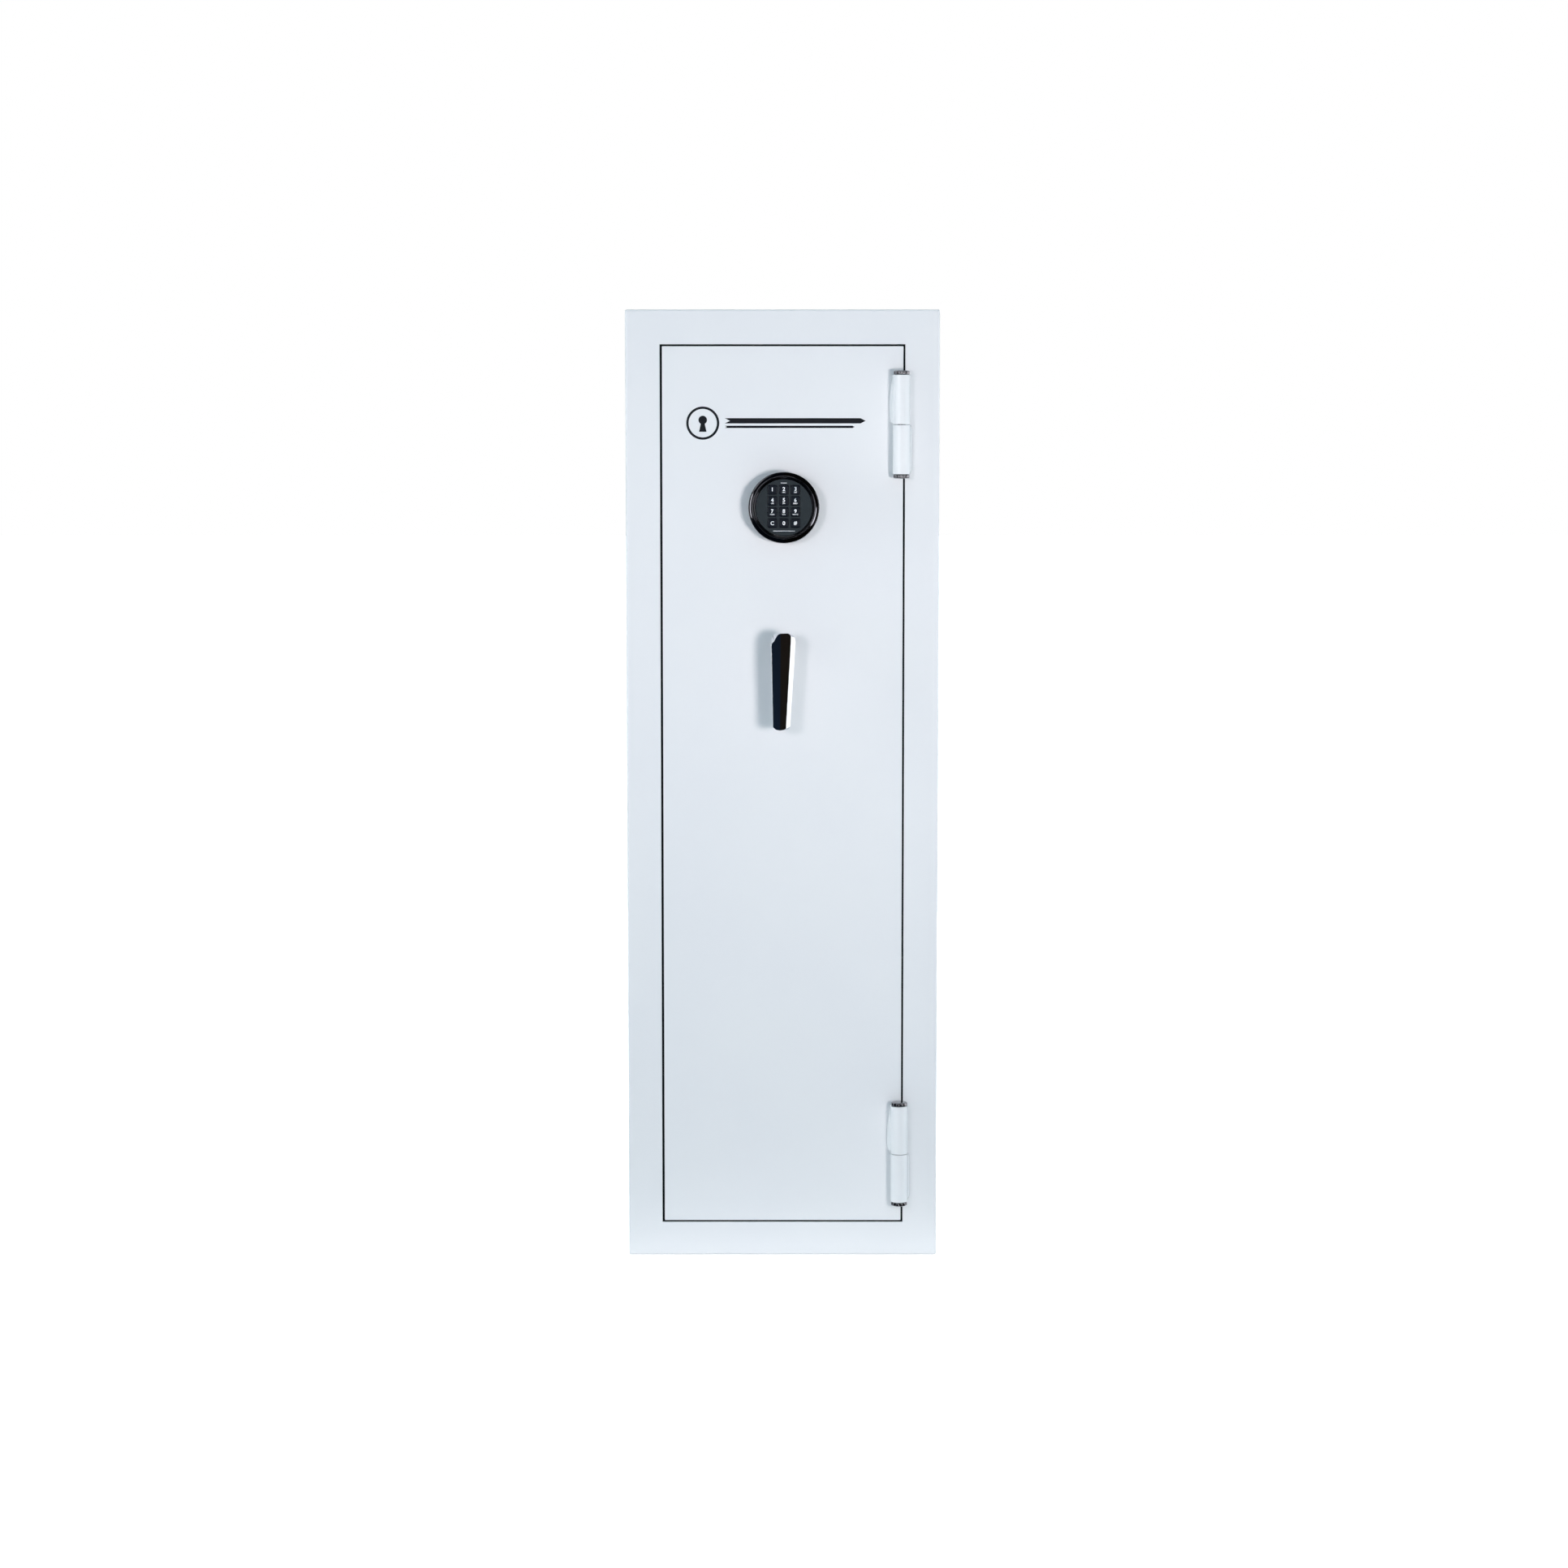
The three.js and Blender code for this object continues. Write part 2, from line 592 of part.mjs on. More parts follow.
function leverGeometry() {
  const rear = FRONT - LEVER_STAND_OFF;
  const front = rear - LEVER_THICK;
  const bar = prismY(leverOutline(), [front + LEVER_BEVEL, rear - LEVER_BEVEL], {
    bevelEnabled: true,
    bevelSize: LEVER_BEVEL,
    bevelThickness: LEVER_BEVEL,
    bevelSegments: 1,
    curveSegments: 5,
  });
  const neck = rodY(NECK_RADIUS, 0, [rear - 2, FRONT - 3.5], 0);
  const bore = rodY(SPINDLE_BORE, 0, [rear - 4.5, 0], 0, 24);
  return cut(join(bar, neck), bore);
}

function crankArm() {
  const quarter = Math.PI / 2;
  const reach = CRANK_RADIUS;
  const shape = new THREE.Shape();
  shape.absarc(0, 0, CRANK_HUB_RADIUS, quarter, 3 * quarter);
  shape.absarc(0, 0, CRANK_HUB_RADIUS, -quarter, 0);
  shape.absarc(reach, 0, CRANK_END_RADIUS, -quarter, quarter);
  const pinHead = [CRANK_Y[1] - 2, CRANK_PIN_TOP];
  const arm = join(prismY(shape, CRANK_Y), rodY(CRANK_PIN_RADIUS, reach, pinHead, 0, 24));
  return cut(arm, rodY(SPINDLE_BORE, 0, [CRANK_Y[0] - 1, CRANK_Y[1] + 1], 0, 24));
}

function addHandle(door, handle) {
  handle.position.set(LOCK_X, 0, HANDLE_Z);
  addPiece(handle, "handle_lever", leverGeometry(), CHROME).rotation.y = LEVER_LEAN;
  const spindleY = [FRONT - LEVER_STAND_OFF - 4, CRANK_Y[1] + 0.5];
  addPiece(handle, "handle_spindle", rodY(SPINDLE_RADIUS, 0, spindleY, 0, 24), STEEL);
  addPiece(handle, "crank_arm", crankArm(), STEEL).rotation.y = Math.PI / 4;
  door.add(handle);

  const tube = rodY(BUSHING_RADIUS, 0, [FRONT - ROSE_THICK, HARD_BACK], 0);
  const flange = rodY(ROSE_RADIUS, 0, [FRONT - ROSE_THICK, FRONT - GAP], 0);
  const bore = rodY(SPINDLE_BORE, 0, [FRONT - 4, HARD_BACK + 1], 0, 24);
  const bushing = addPiece(door, "handle_bushing", cut(join(tube, flange), bore), CHROME);
  bushing.position.set(LOCK_X, 0, HANDLE_Z);
}

// ---------- boltwork ----------
function rampBlock(last) {
  const edge = LOCK_X - LOCK_BOLT_HALF;
  const first = edge - RAMP_LEAD;
  const fall = (x) => LOCK_BOLT_BASE - RAMP_GAP - (LOCK_TRAVEL * (x - edge)) / THROW;
  const shape = outline([[first, RAMP_Z], [last, RAMP_Z], [last, fall(last)], [first, fall(first)]]);
  return prismY(shape, [RAMP_Y, DRIVE_Y[1]]);
}

function carriage() {
  const reach = CRANK_RADIUS * Math.SQRT1_2;
  const crankX = LOCK_X + reach;
  const plateEnd = crankX + PLATE_MARGIN;
  const bar = block(BAR_X, BAR_Y, BAR_Z);
  const plate = block([BAR_X[0] + SHEET, plateEnd], DRIVE_Y, DRIVE_Z);
  const slot = new THREE.Shape();
  slot.absarc(crankX, HANDLE_Z - reach + SLOT_SPARE, SLOT_HALF, 0, Math.PI);
  slot.absarc(crankX, HANDLE_Z - CRANK_RADIUS - SLOT_SPARE, SLOT_HALF, Math.PI, 2 * Math.PI);
  return cut(join(bar, plate, rampBlock(plateEnd)), prismY(slot, [DRIVE_Y[0] - 1, DRIVE_Y[1] + 1]));
}

function addBoltwork(boltwork, lockBolt) {
  addPiece(boltwork, "bolt_carriage", carriage(), STEEL);
  for (const [name, z] of Object.entries(BOLT_HEIGHTS)) {
    const rod = new THREE.LatheGeometry([
      [0, BOLT_TIP], [BOLT_RADIUS - 1.5, BOLT_TIP], [BOLT_RADIUS, BOLT_TIP + 1.5],
      [BOLT_RADIUS, BAR_X[0] - GAP], [0, BAR_X[0] - GAP],
    ].map(([r, y]) => new THREE.Vector2(r, y)), 32);
    const bolt = addPiece(boltwork, `locking_bolt_${name}`, rod.rotateZ(-Math.PI / 2), CHROME);
    bolt.position.set(0, BOLT_Y, z);
  }
  const half = LOCK_BOLT_HALF;
  const tongue = block([-half, half], LOCK_BOLT_Y, [LOCK_BOLT_BASE, LOCK_BOLT_BASE + LOCK_BOLT_LENGTH]);
  addPiece(lockBolt, "lock_bolt", tongue, STEEL).position.x = LOCK_X;
}

// ---------- assembly ----------
function buildSafe() {
  const safe = new THREE.Group();
  const cabinet = new THREE.Group();
  const door = new THREE.Group();
  const keypad = new THREE.Group();
  const keys = new THREE.Group();
  const handle = new THREE.Group();
  const boltwork = new THREE.Group();
  const lockBolt = new THREE.Group();
  keypad.position.set(LOCK_X, FRONT, KEYPAD_Z);
  keys.position.set(LOCK_X, FRONT, KEYPAD_Z);

  addFrontFrame(cabinet);
  addPanels(cabinet);
  addLining(cabinet);
  addShelf(cabinet);
  addBarrelRack(cabinet);
  addHinges(cabinet, door);

  addDoorShell(door);
  addLockCase(door);
  addBoltGuide(door);
  addKeypad(door, keypad, keys);
  addHandle(door, handle);
  addBoltwork(boltwork, lockBolt);
  door.add(boltwork, lockBolt);
  safe.add(cabinet, door);
  return safe;
}

export default buildSafe();
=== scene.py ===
"""Looks of the gun safe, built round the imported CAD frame.

Metres, in the frame's own axes: the door faces -Y, +X is the viewer's right, +Z is up.
The floor is at 0.
"""
import json
import math

import bmesh
import bpy
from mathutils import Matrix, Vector, noise


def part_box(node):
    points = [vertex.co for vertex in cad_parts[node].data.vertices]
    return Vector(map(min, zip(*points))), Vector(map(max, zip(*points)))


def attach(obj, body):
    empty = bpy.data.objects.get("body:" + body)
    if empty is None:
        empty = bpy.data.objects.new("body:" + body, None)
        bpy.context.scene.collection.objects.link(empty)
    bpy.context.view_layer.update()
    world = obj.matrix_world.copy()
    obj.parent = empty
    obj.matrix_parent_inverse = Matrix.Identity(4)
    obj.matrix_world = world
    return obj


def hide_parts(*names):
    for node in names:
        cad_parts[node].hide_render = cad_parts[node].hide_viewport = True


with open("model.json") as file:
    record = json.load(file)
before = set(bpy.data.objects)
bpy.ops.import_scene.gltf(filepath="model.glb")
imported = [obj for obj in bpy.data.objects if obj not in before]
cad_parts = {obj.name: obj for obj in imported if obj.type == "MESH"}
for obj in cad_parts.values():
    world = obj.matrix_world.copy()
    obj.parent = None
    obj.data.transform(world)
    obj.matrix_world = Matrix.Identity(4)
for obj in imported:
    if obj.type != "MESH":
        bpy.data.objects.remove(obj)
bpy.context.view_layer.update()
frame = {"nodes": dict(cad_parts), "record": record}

MM = 0.001
SCENE = bpy.context.scene


# ---------- places and sizes taken from the frame ----------
def low(node):
    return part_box(node)[0]


def high(node):
    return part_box(node)[1]


def middle(node):
    return (low(node) + high(node)) / 2


SIDE = high("side_panel_right").x
FRONT = low("door_plate").y
BACK = high("back_panel").y
HEIGHT = high("side_panel_right").z
DEPTH = BACK - FRONT
SHEET = high("floor_panel").z
STOP_WIDTH = 14 * MM  # how far the stop behind the door reaches past the rebate
FACE_WIDTH = high("frame_left_member").x + SIDE - STOP_WIDTH
FRAME_DEPTH = high("frame_left_member").y - FRONT
REBATE = 8 * MM  # from the cabinet's front back to that stop
LINING_EDGE = SIDE - high("liner_right").x
SPINDLE = middle("handle_spindle")
KEYPAD_RADIUS = (high("keypad_bezel").x - low("keypad_bezel").x) / 2
KEYPAD = Vector((middle("keypad_bezel").x, FRONT, low("keypad_bezel").z + KEYPAD_RADIUS))
KEYPAD_PROUD = FRONT - low("keypad_bezel").y
DISC_PROUD = FRONT - low("keypad_disc").y
DISC_RISE = 2.2 * MM  # the keypad's front sits this much higher than its base

# ---------- camera ----------
CAMERA_DISTANCE = 5.3
CAMERA_SIDE = 2.2 * MM
CAMERA_HEIGHT = 1.2566
CAMERA_TILT = math.radians(5.939)
CAMERA_LENS = 83.24


def add_camera():
    data = bpy.data.cameras.new("camera")
    data.lens = CAMERA_LENS
    data.sensor_width = 36
    camera = bpy.data.objects.new("camera", data)
    camera.location = (CAMERA_SIDE, FRONT - CAMERA_DISTANCE, CAMERA_HEIGHT)
    camera.rotation_euler = (math.pi / 2 - CAMERA_TILT, 0, 0)
    SCENE.collection.objects.link(camera)
    SCENE.camera = camera


add_camera()


# ---------- node materials ----------
def srgb(red, green, blue):
    """A colour written as 0 to 255, in the linear values that shaders take."""
    def linear(value):
        value /= 255
        return value / 12.92 if value <= 0.04045 else ((value + 0.055) / 1.055) ** 2.4
    return (linear(red), linear(green), linear(blue), 1)


class Material:
    """A Principled material and the few nodes that feed it, all in object coordinates."""

    def __init__(self, name, **settings):
        self.data = bpy.data.materials.new(name)
        self.data.use_nodes = True
        self.tree = self.data.node_tree
        self.shader = self.tree.nodes["Principled BSDF"]
        self.place = self.tree.nodes.new("ShaderNodeTexCoord").outputs["Object"]
        for socket, value in settings.items():
            self.shader.inputs[socket.replace("_", " ")].default_value = value

    def node(self, kind, **inputs):
        node = self.tree.nodes.new("ShaderNode" + kind)
        for socket, value in inputs.items():
            self.feed(node.inputs[socket.replace("_", " ")], value)
        return node

    def feed(self, socket, value):
        if isinstance(value, bpy.types.NodeSocket):
            self.tree.links.new(value, socket)
        else:
            socket.default_value = value

    def stretched(self, scale):
        return self.node("Mapping", Vector=self.place, Scale=scale).outputs["Vector"]

    def noise(self, scale, detail=2.0, rough=0.5, place=None):
        where = place or self.place
        texture = self.node("TexNoise", Vector=where, Scale=scale, Detail=detail, Roughness=rough)
        return texture.outputs["Fac"]

    def cells(self, scale):
        return self.node("TexVoronoi", Scale=scale, Vector=self.place).outputs["Distance"]

    def blend(self, amount, first, second, start=0.3, end=0.7):
        """Two colours mixed by a texture whose middle range is spread over the whole mix."""
        ramp = self.node("ValToRGB", Fac=amount)
        for stop, place, tone in zip(ramp.color_ramp.elements, (start, end), (first, second)):
            stop.position = place
            stop.color = tone
        return ramp.outputs["Color"]

    def between(self, amount, lowest, highest):
        return self.node("MapRange", Value=amount, To_Min=lowest, To_Max=highest).outputs["Result"]

    def colour(self, value):
        self.feed(self.shader.inputs["Base Color"], value)

    def roughness(self, amount, lowest, highest):
        self.feed(self.shader.inputs["Roughness"], self.between(amount, lowest, highest))

    def bump(self, *layers):
        """Layers of (height, strength, distance) stacked into one normal."""
        normal = None
        for height, strength, distance in layers:
            node = self.node("Bump", Height=height, Strength=strength, Distance=distance)
            if normal:
                self.feed(node.inputs["Normal"], normal)
            normal = node.outputs["Normal"]
        self.feed(self.shader.inputs["Normal"], normal)


def powder_coat(name, light, dark, rough=(0.36, 0.46), peel=0.12):
    """Satin powder coat: a fine orange peel over a barely uneven colour."""
    coat = Material(name, Specular_IOR_Level=0.5)
    coat.colour(coat.blend(coat.noise(6, 3), dark, light))
    coat.roughness(coat.noise(240, 2), *rough)
    coat.bump((coat.noise(480, 2), peel, 0.5 * MM), (coat.noise(1500, 1), peel / 2, 0.2 * MM))
    return coat.data


def felt():
    """Short grey headliner felt: matted fibres and a soft sheen."""
    cloth = Material("lining_felt", Roughness=0.95, Sheen_Weight=0.35, Sheen_Roughness=0.5)
    fibres = cloth.noise(900, 4, 0.75)
    mottle = cloth.noise(60, 3, 0.6)
    tone = cloth.blend(fibres, srgb(84, 88, 94), srgb(124, 129, 136))
    shade = cloth.blend(mottle, (0.86, 0.86, 0.86, 1), (1, 1, 1, 1))
    mix = cloth.node("Mix")
    mix.data_type = "RGBA"
    mix.blend_type = "MULTIPLY"
    mix.inputs["Factor"].default_value = 1
    cloth.feed(mix.inputs[6], tone)
    cloth.feed(mix.inputs[7], shade)
    cloth.colour(mix.outputs[2])
    cloth.bump((mottle, 0.35, 1.2 * MM), (fibres, 0.7, 0.8 * MM))
    return cloth.data


def carpet_pile():
    """Darker cut pile with tufts a few millimetres across."""
    pile = Material("carpet_pile", Roughness=1.0, Sheen_Weight=0.25, Sheen_Roughness=0.6)
    tufts = pile.cells(420)
    pile.colour(pile.blend(tufts, srgb(88, 92, 98), srgb(46, 49, 54), 0.1, 0.75))
    pile.bump((pile.noise(90, 2), 0.4, 2 * MM), (tufts, 0.9, 1.5 * MM))
    return pile.data


def brushed_steel(name, light, dark, grain=(1, 60, 60), rough=(0.28, 0.42)):
    """Zinc plated or bare steel with a drawn grain along one axis."""
    steel = Material(name, Metallic=1.0)
    lines = steel.noise(30, 4, 0.6, steel.stretched(grain))
    steel.colour(steel.blend(steel.noise(14, 3), dark, light))
    steel.roughness(lines, *rough)
    steel.bump((lines, 0.12, 0.2 * MM))
    return steel.data


def polished(name, light, dark, rough):
    """Plated metal: a mirror with faint hazing from handling."""
    plate = Material(name, Metallic=1.0)
    haze = plate.noise(45, 4, 0.6)
    plate.colour(plate.blend(haze, dark, light))
    plate.roughness(haze, *rough)
    plate.bump((plate.noise(70, 2), 0.03, 0.1 * MM))
    return plate.data


def moulded(name, light, dark, grain=900, rough=(0.42, 0.58), depth=0.15):
    """Moulded plastic or rubber with a fine spark-eroded grain."""
    plastic = Material(name, Specular_IOR_Level=0.4)
    texture = plastic.noise(grain, 3, 0.6)
    plastic.colour(plastic.blend(texture, dark, light))
    plastic.roughness(plastic.noise(120, 2), *rough)
    plastic.bump((texture, 0.25, depth * MM))
    return plastic.data


def gypsum():
    """Fire board: pale, dusty and flecked."""
    board = Material("fire_board", Roughness=0.95, Specular_IOR_Level=0.2)
    flecks = board.noise(350, 5, 0.7)
    board.colour(board.blend(flecks, srgb(186, 178, 162), srgb(222, 216, 203)))
    board.bump((flecks, 0.3, 0.6 * MM))
    return board.data


def cast_metal():
    """Unpolished zinc casting."""
    cast = Material("zinc_cast", Metallic=1.0)
    skin = cast.noise(260, 4, 0.65)
    cast.colour(cast.blend(skin, srgb(140, 137, 124), srgb(184, 180, 165)))
    cast.roughness(skin, 0.4, 0.6)
    cast.bump((skin, 0.25, 0.3 * MM))
    return cast.data


def ink(name, light, dark, rough=(0.5, 0.65)):
    """Screen-printed ink: nearly even, with the texture of what lies under it."""
    print_ink = Material(name, Specular_IOR_Level=0.3)
    print_ink.colour(print_ink.blend(print_ink.noise(700, 2), dark, light))
    print_ink.roughness(print_ink.noise(300, 2), *rough)
    return print_ink.data


COAT = powder_coat("cabinet_coat", srgb(235, 238, 240), srgb(233, 236, 239))
HINGE_COAT = powder_coat("hinge_coat", srgb(237, 240, 242), srgb(235, 238, 240), (0.17, 0.23), 0.05)
FELT = felt()
CARPET = carpet_pile()
STEEL = brushed_steel("zinc_plated_steel", srgb(190, 194, 198), srgb(160, 164, 170))
DARK_STEEL = brushed_steel("hardened_plate", srgb(112, 114, 118), srgb(88, 90, 94), (60, 60, 1))
CHROME = polished("polished_chrome", srgb(226, 228, 232), srgb(216, 218, 223), (0.03, 0.09))
CAP_CHROME = polished("hinge_cap_chrome", srgb(150, 150, 154), srgb(138, 138, 143), (0.04, 0.10))
BLACK_CHROME = polished("black_chrome", srgb(84, 84, 88), srgb(72, 72, 77), (0.05, 0.12))
BOLT_CHROME = polished("bolt_chrome", srgb(214, 216, 220), srgb(198, 201, 206), (0.10, 0.20))
PLASTIC = moulded("keypad_housing", srgb(41, 49, 54), srgb(35, 43, 48), 900, (0.5, 0.62), 0.08)
KEY_RUBBER = moulded("key_rubber", srgb(13, 21, 33), srgb(8, 15, 26), 700, (0.4, 0.5), 0.08)
CASE_PLASTIC = moulded("battery_plastic", srgb(44, 46, 49), srgb(35, 37, 40), 500)
CABLE_JACKET = moulded("cable_jacket", srgb(30, 30, 32), srgb(22, 22, 24), 600)
# the seal's dark graphite is partly a real fire seal and partly painted shade: where it lines the rebate
# wall, it paints the door gap black
SEAL_AND_GAP_SHADE = moulded("seal_graphite_and_gap_shade", srgb(30, 31, 34), srgb(20, 21, 23), 1200, (0.7, 0.9), 0.3)
BOARD = gypsum()
ZINC = cast_metal()
KEY_INK = ink("key_print", srgb(240, 243, 245), srgb(225, 229, 232))
DECAL_INK = ink("decal_ink", srgb(26, 28, 34), srgb(19, 21, 27), (0.35, 0.5))


# ---------- mesh helpers ----------
def join_in(bm, other):
    """Adds a second closed shape to a bmesh."""
    mesh = bpy.data.meshes.new("joined")
    other.to_mesh(mesh)
    other.free()
    bm.from_mesh(mesh)
    bpy.data.meshes.remove(mesh)


def finish_piece(bm, name, material, body, replaces=(), crease=40, weighted=True):
    """Turns a bmesh into a shown piece that rides on a body and stands for CAD nodes."""
    bmesh.ops.recalc_face_normals(bm, faces=bm.faces)
    mesh = bpy.data.meshes.new(name)
    bm.to_mesh(mesh)
    bm.free()
    mesh.shade_smooth()
    mesh.set_sharp_from_angle(angle=math.radians(crease))
    mesh.materials.append(material)
    piece = bpy.data.objects.new(name, mesh)
    SCENE.collection.objects.link(piece)
    if weighted:
        modifier = piece.modifiers.new("flat faces stay flat", "WEIGHTED_NORMAL")
        modifier.keep_sharp = True
    if replaces:
        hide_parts(*replaces)
    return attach(piece, body)


def loft(rings, closed=False):
    """Quads between rings of points, capped at both ends or closed into a loop of rings."""
    bm = bmesh.new()
    rows = [[bm.verts.new(point) for point in ring] for ring in rings]
    pairs = list(zip(rows, rows[1:])) + ([(rows[-1], rows[0])] if closed else [])
    for near, far in pairs:
        for i in range(len(near)):
            j = (i + 1) % len(near)
            bm.faces.new((near[i], near[j], far[j], far[i]))
    if not closed:
        bm.faces.new(rows[0])
        bm.faces.new(rows[-1])
    return bm


def fillet(points, radii, steps=4):
    """A closed 2-D outline with its corners rounded; a corner of radius 0 stays sharp."""
    outline = []
    count = len(points)
    for i, (point, radius) in enumerate(zip(points, radii)):
        corner = Vector(point)
        if radius == 0:
            outline.append(corner)
            continue
        before = (Vector(points[i - 1]) - corner).normalized()
        after = (Vector(points[(i + 1) % count]) - corner).normalized()
        half = before.angle(after) / 2
        centre = corner + (before + after).normalized() * radius / math.sin(half)
        start = corner + before * radius / math.tan(half) - centre
        end = corner + after * radius / math.tan(half) - centre
        sweep = start.angle_signed(end)
        for k in range(steps + 1):
            turn = -sweep * k / steps
            outline.append(centre + Vector((
                start.x * math.cos(turn) - start.y * math.sin(turn),
                start.x * math.sin(turn) + start.y * math.cos(turn),
            )))
    return outline


def full_turn(sides):
    return [2 * math.pi * i / sides for i in range(sides)]


def quarter_round(radius, steps=5):
    """A rounded edge's distances from the two faces that it joins, from where it meets the first."""
    turns = [math.pi / 2 * k / steps for k in range(1, steps + 1)]
    return [(radius * (1 - math.cos(turn)), radius * (1 - math.sin(turn))) for turn in turns]


def circle(radius, sides, centre=(0, 0)):
    x, y = centre
    return [Vector((x + radius * math.cos(a), y + radius * math.sin(a))) for a in full_turn(sides)]


def rectangle(left, right, bottom, top):
    return [(left, bottom), (right, bottom), (right, top), (left, top)]


AXES = {
    "x": lambda a, b, h: Vector((h, a, b)),
    "y": lambda a, b, h: Vector((a, h, b)),
    "z": lambda a, b, h: Vector((a, b, h)),
}


def turned(profile, axis, centre, sides=64, flutes=0, flute_depth=0.0, bored=False):
    """A turned piece: profile holds (radius, height) pairs, with True added where flutes are cut.

    A bored piece has a hole through it, and its profile closes on itself.
    """
    point = AXES[axis]
    rings = []
    for radius, height, *fluted in profile:
        ring = []
        for angle in full_turn(sides):
            reach = radius
            if fluted:
                reach -= flute_depth * (0.5 + 0.5 * math.cos(flutes * angle)) ** 2
            ring.append(centre + point(reach * math.cos(angle), reach * math.sin(angle), height))
        rings.append(ring)
    return loft(rings, closed=bored)


SAME_PLACE = 0.0001 * MM
RIM_ANGLE = 1.0  # radians: only the right angles of a plate's rim are sharper


def sharp_edges(bm, angle):
    return [e for e in bm.edges if e.is_manifold and e.calc_face_angle() > angle]


def round_over(bm, edges, offset, segments):
    bmesh.ops.bevel(bm, geom=edges, offset=offset, segments=segments, profile=0.5, affect="EDGES",
                    clamp_overlap=True)


def panel(outline, holes, front, depth, bevel=0.0):
    """A flat plate facing -Y with holes through it and eased edges on both faces."""
    bm = bmesh.new()
    edges = []
    walls = []
    for loop in [outline, *holes]:
        near = [bm.verts.new((p[0], front, p[1])) for p in loop]
        far = [bm.verts.new((p[0], front + depth, p[1])) for p in loop]
        edges += [bm.edges.new(pair) for pair in zip(near, near[1:] + near[:1])]
        walls.append((near, far))
    twin = {v: w for near, far in walls for v, w in zip(near, far)}
    bmesh.ops.triangle_fill(bm, edges=edges, use_beauty=True, use_dissolve=False)
    for face in list(bm.faces):
        bm.faces.new([twin[v] for v in reversed(face.verts)])
    for near, far in walls:
        for i in range(len(near)):
            j = (i + 1) % len(near)
            bm.faces.new((near[i], near[j], far[j], far[i]))
    bmesh.ops.recalc_face_normals(bm, faces=bm.faces)
    if bevel:
        sharp = sharp_edges(bm, RIM_ANGLE)
        rims = [e for e in sharp if abs(e.verts[0].co.y - e.verts[1].co.y) < SAME_PLACE]
        round_over(bm, rims, bevel, 3)
    return bm


SHARP = math.radians(35)


def eased(node, bevel, segments=2):
    """The CAD node's own shape with its sharp edges rounded over."""
    bm = bmesh.new()
    bm.from_mesh(frame["nodes"][node].data)
    bmesh.ops.remove_doubles(bm, verts=bm.verts, dist=0.01 * MM)
    bmesh.ops.dissolve_limit(bm, angle_limit=math.radians(0.5), verts=bm.verts, edges=bm.edges)
    round_over(bm, sharp_edges(bm, SHARP), bevel, segments)
    return bm


def body_of(node):
    return next(b for b, nodes in frame["record"]["behaviour"]["bodies"].items() if node in nodes)


def dress(node, name, material, bevel=0.4 * MM, segments=2):
    """Stands an eased copy of a CAD node in its place."""
    return finish_piece(eased(node, bevel, segments), name, material, body_of(node), [node])


def repaint(node, material):
    """Gives a CAD node that isn't replaced a material from here."""
    slots = frame["nodes"][node].data.materials
    slots.clear()
    slots.append(material)


# ---------- cabinet ----------
CORNER_RADIUS = 2.5 * MM
BEND = 3.2 * MM
TIGHT_BEND = 0.4 * MM
FACE_EDGE = 0.5 * MM
CUT_EDGE = 0.3 * MM
LINING_EDGE_RADIUS = 0.2 * MM
REAR_RETURN = 16 * MM
BACK_GAP = 0.4 * MM
BACK_CORNER = 1.5 * MM
BACK_EDGE = 0.5 * MM


def shell_section():
    """The folded sheet from its rear return to the stop behind the door, as (inward, back) points."""
    stop = FACE_WIDTH + STOP_WIDTH
    corners = [
        ((REAR_RETURN, DEPTH), CUT_EDGE),
        ((0, DEPTH), BEND),
        ((0, 0), BEND),
        ((FACE_WIDTH, 0), FACE_EDGE),
        ((FACE_WIDTH, REBATE), TIGHT_BEND),
        ((stop, REBATE), BEND / 2),
        ((stop, FRAME_DEPTH), BEND / 2),
        ((LINING_EDGE, FRAME_DEPTH), LINING_EDGE_RADIUS),
        ((LINING_EDGE, FRAME_DEPTH - SHEET), LINING_EDGE_RADIUS),
        ((stop - SHEET, FRAME_DEPTH - SHEET), TIGHT_BEND),
        ((stop - SHEET, REBATE + SHEET), TIGHT_BEND),
        ((FACE_WIDTH - SHEET, REBATE + SHEET), BEND),
        ((FACE_WIDTH - SHEET, SHEET), TIGHT_BEND),
        ((SHEET, SHEET), TIGHT_BEND),
        ((SHEET, DEPTH - SHEET), TIGHT_BEND),
        ((REAR_RETURN, DEPTH - SHEET), CUT_EDGE),
    ]
    points, radii = zip(*corners)
    return fillet(points, radii)


def framed(section, corner_steps=4):
    """Sweeps an (inward, back) section round the cabinet's rectangle."""
    stations = []
    for k in range(4):
        for step in range(corner_steps + 1):
            stations.append((k, math.pi / 2 * (k + step / corner_steps)))
    signs = [(1, 1), (-1, 1), (-1, -1), (1, -1)]
    rings = []
    for k, angle in stations:
        ring = []
        for inward, back in section:
            inset = max(inward, CORNER_RADIUS)
            radius = max(CORNER_RADIUS - inward, 0)
            x = signs[k][0] * (SIDE - inset) + radius * math.cos(angle)
            z = max(0, HEIGHT / 2 + signs[k][1] * (HEIGHT / 2 - inset) + radius * math.sin(angle))
            ring.append(Vector((x, FRONT + back, z)))
        rings.append(ring)
    bm = loft(rings, closed=True)
    bmesh.ops.remove_doubles(bm, verts=bm.verts, dist=0.005 * MM)
    bmesh.ops.dissolve_degenerate(bm, dist=0.001 * MM, edges=bm.edges)
    return bm


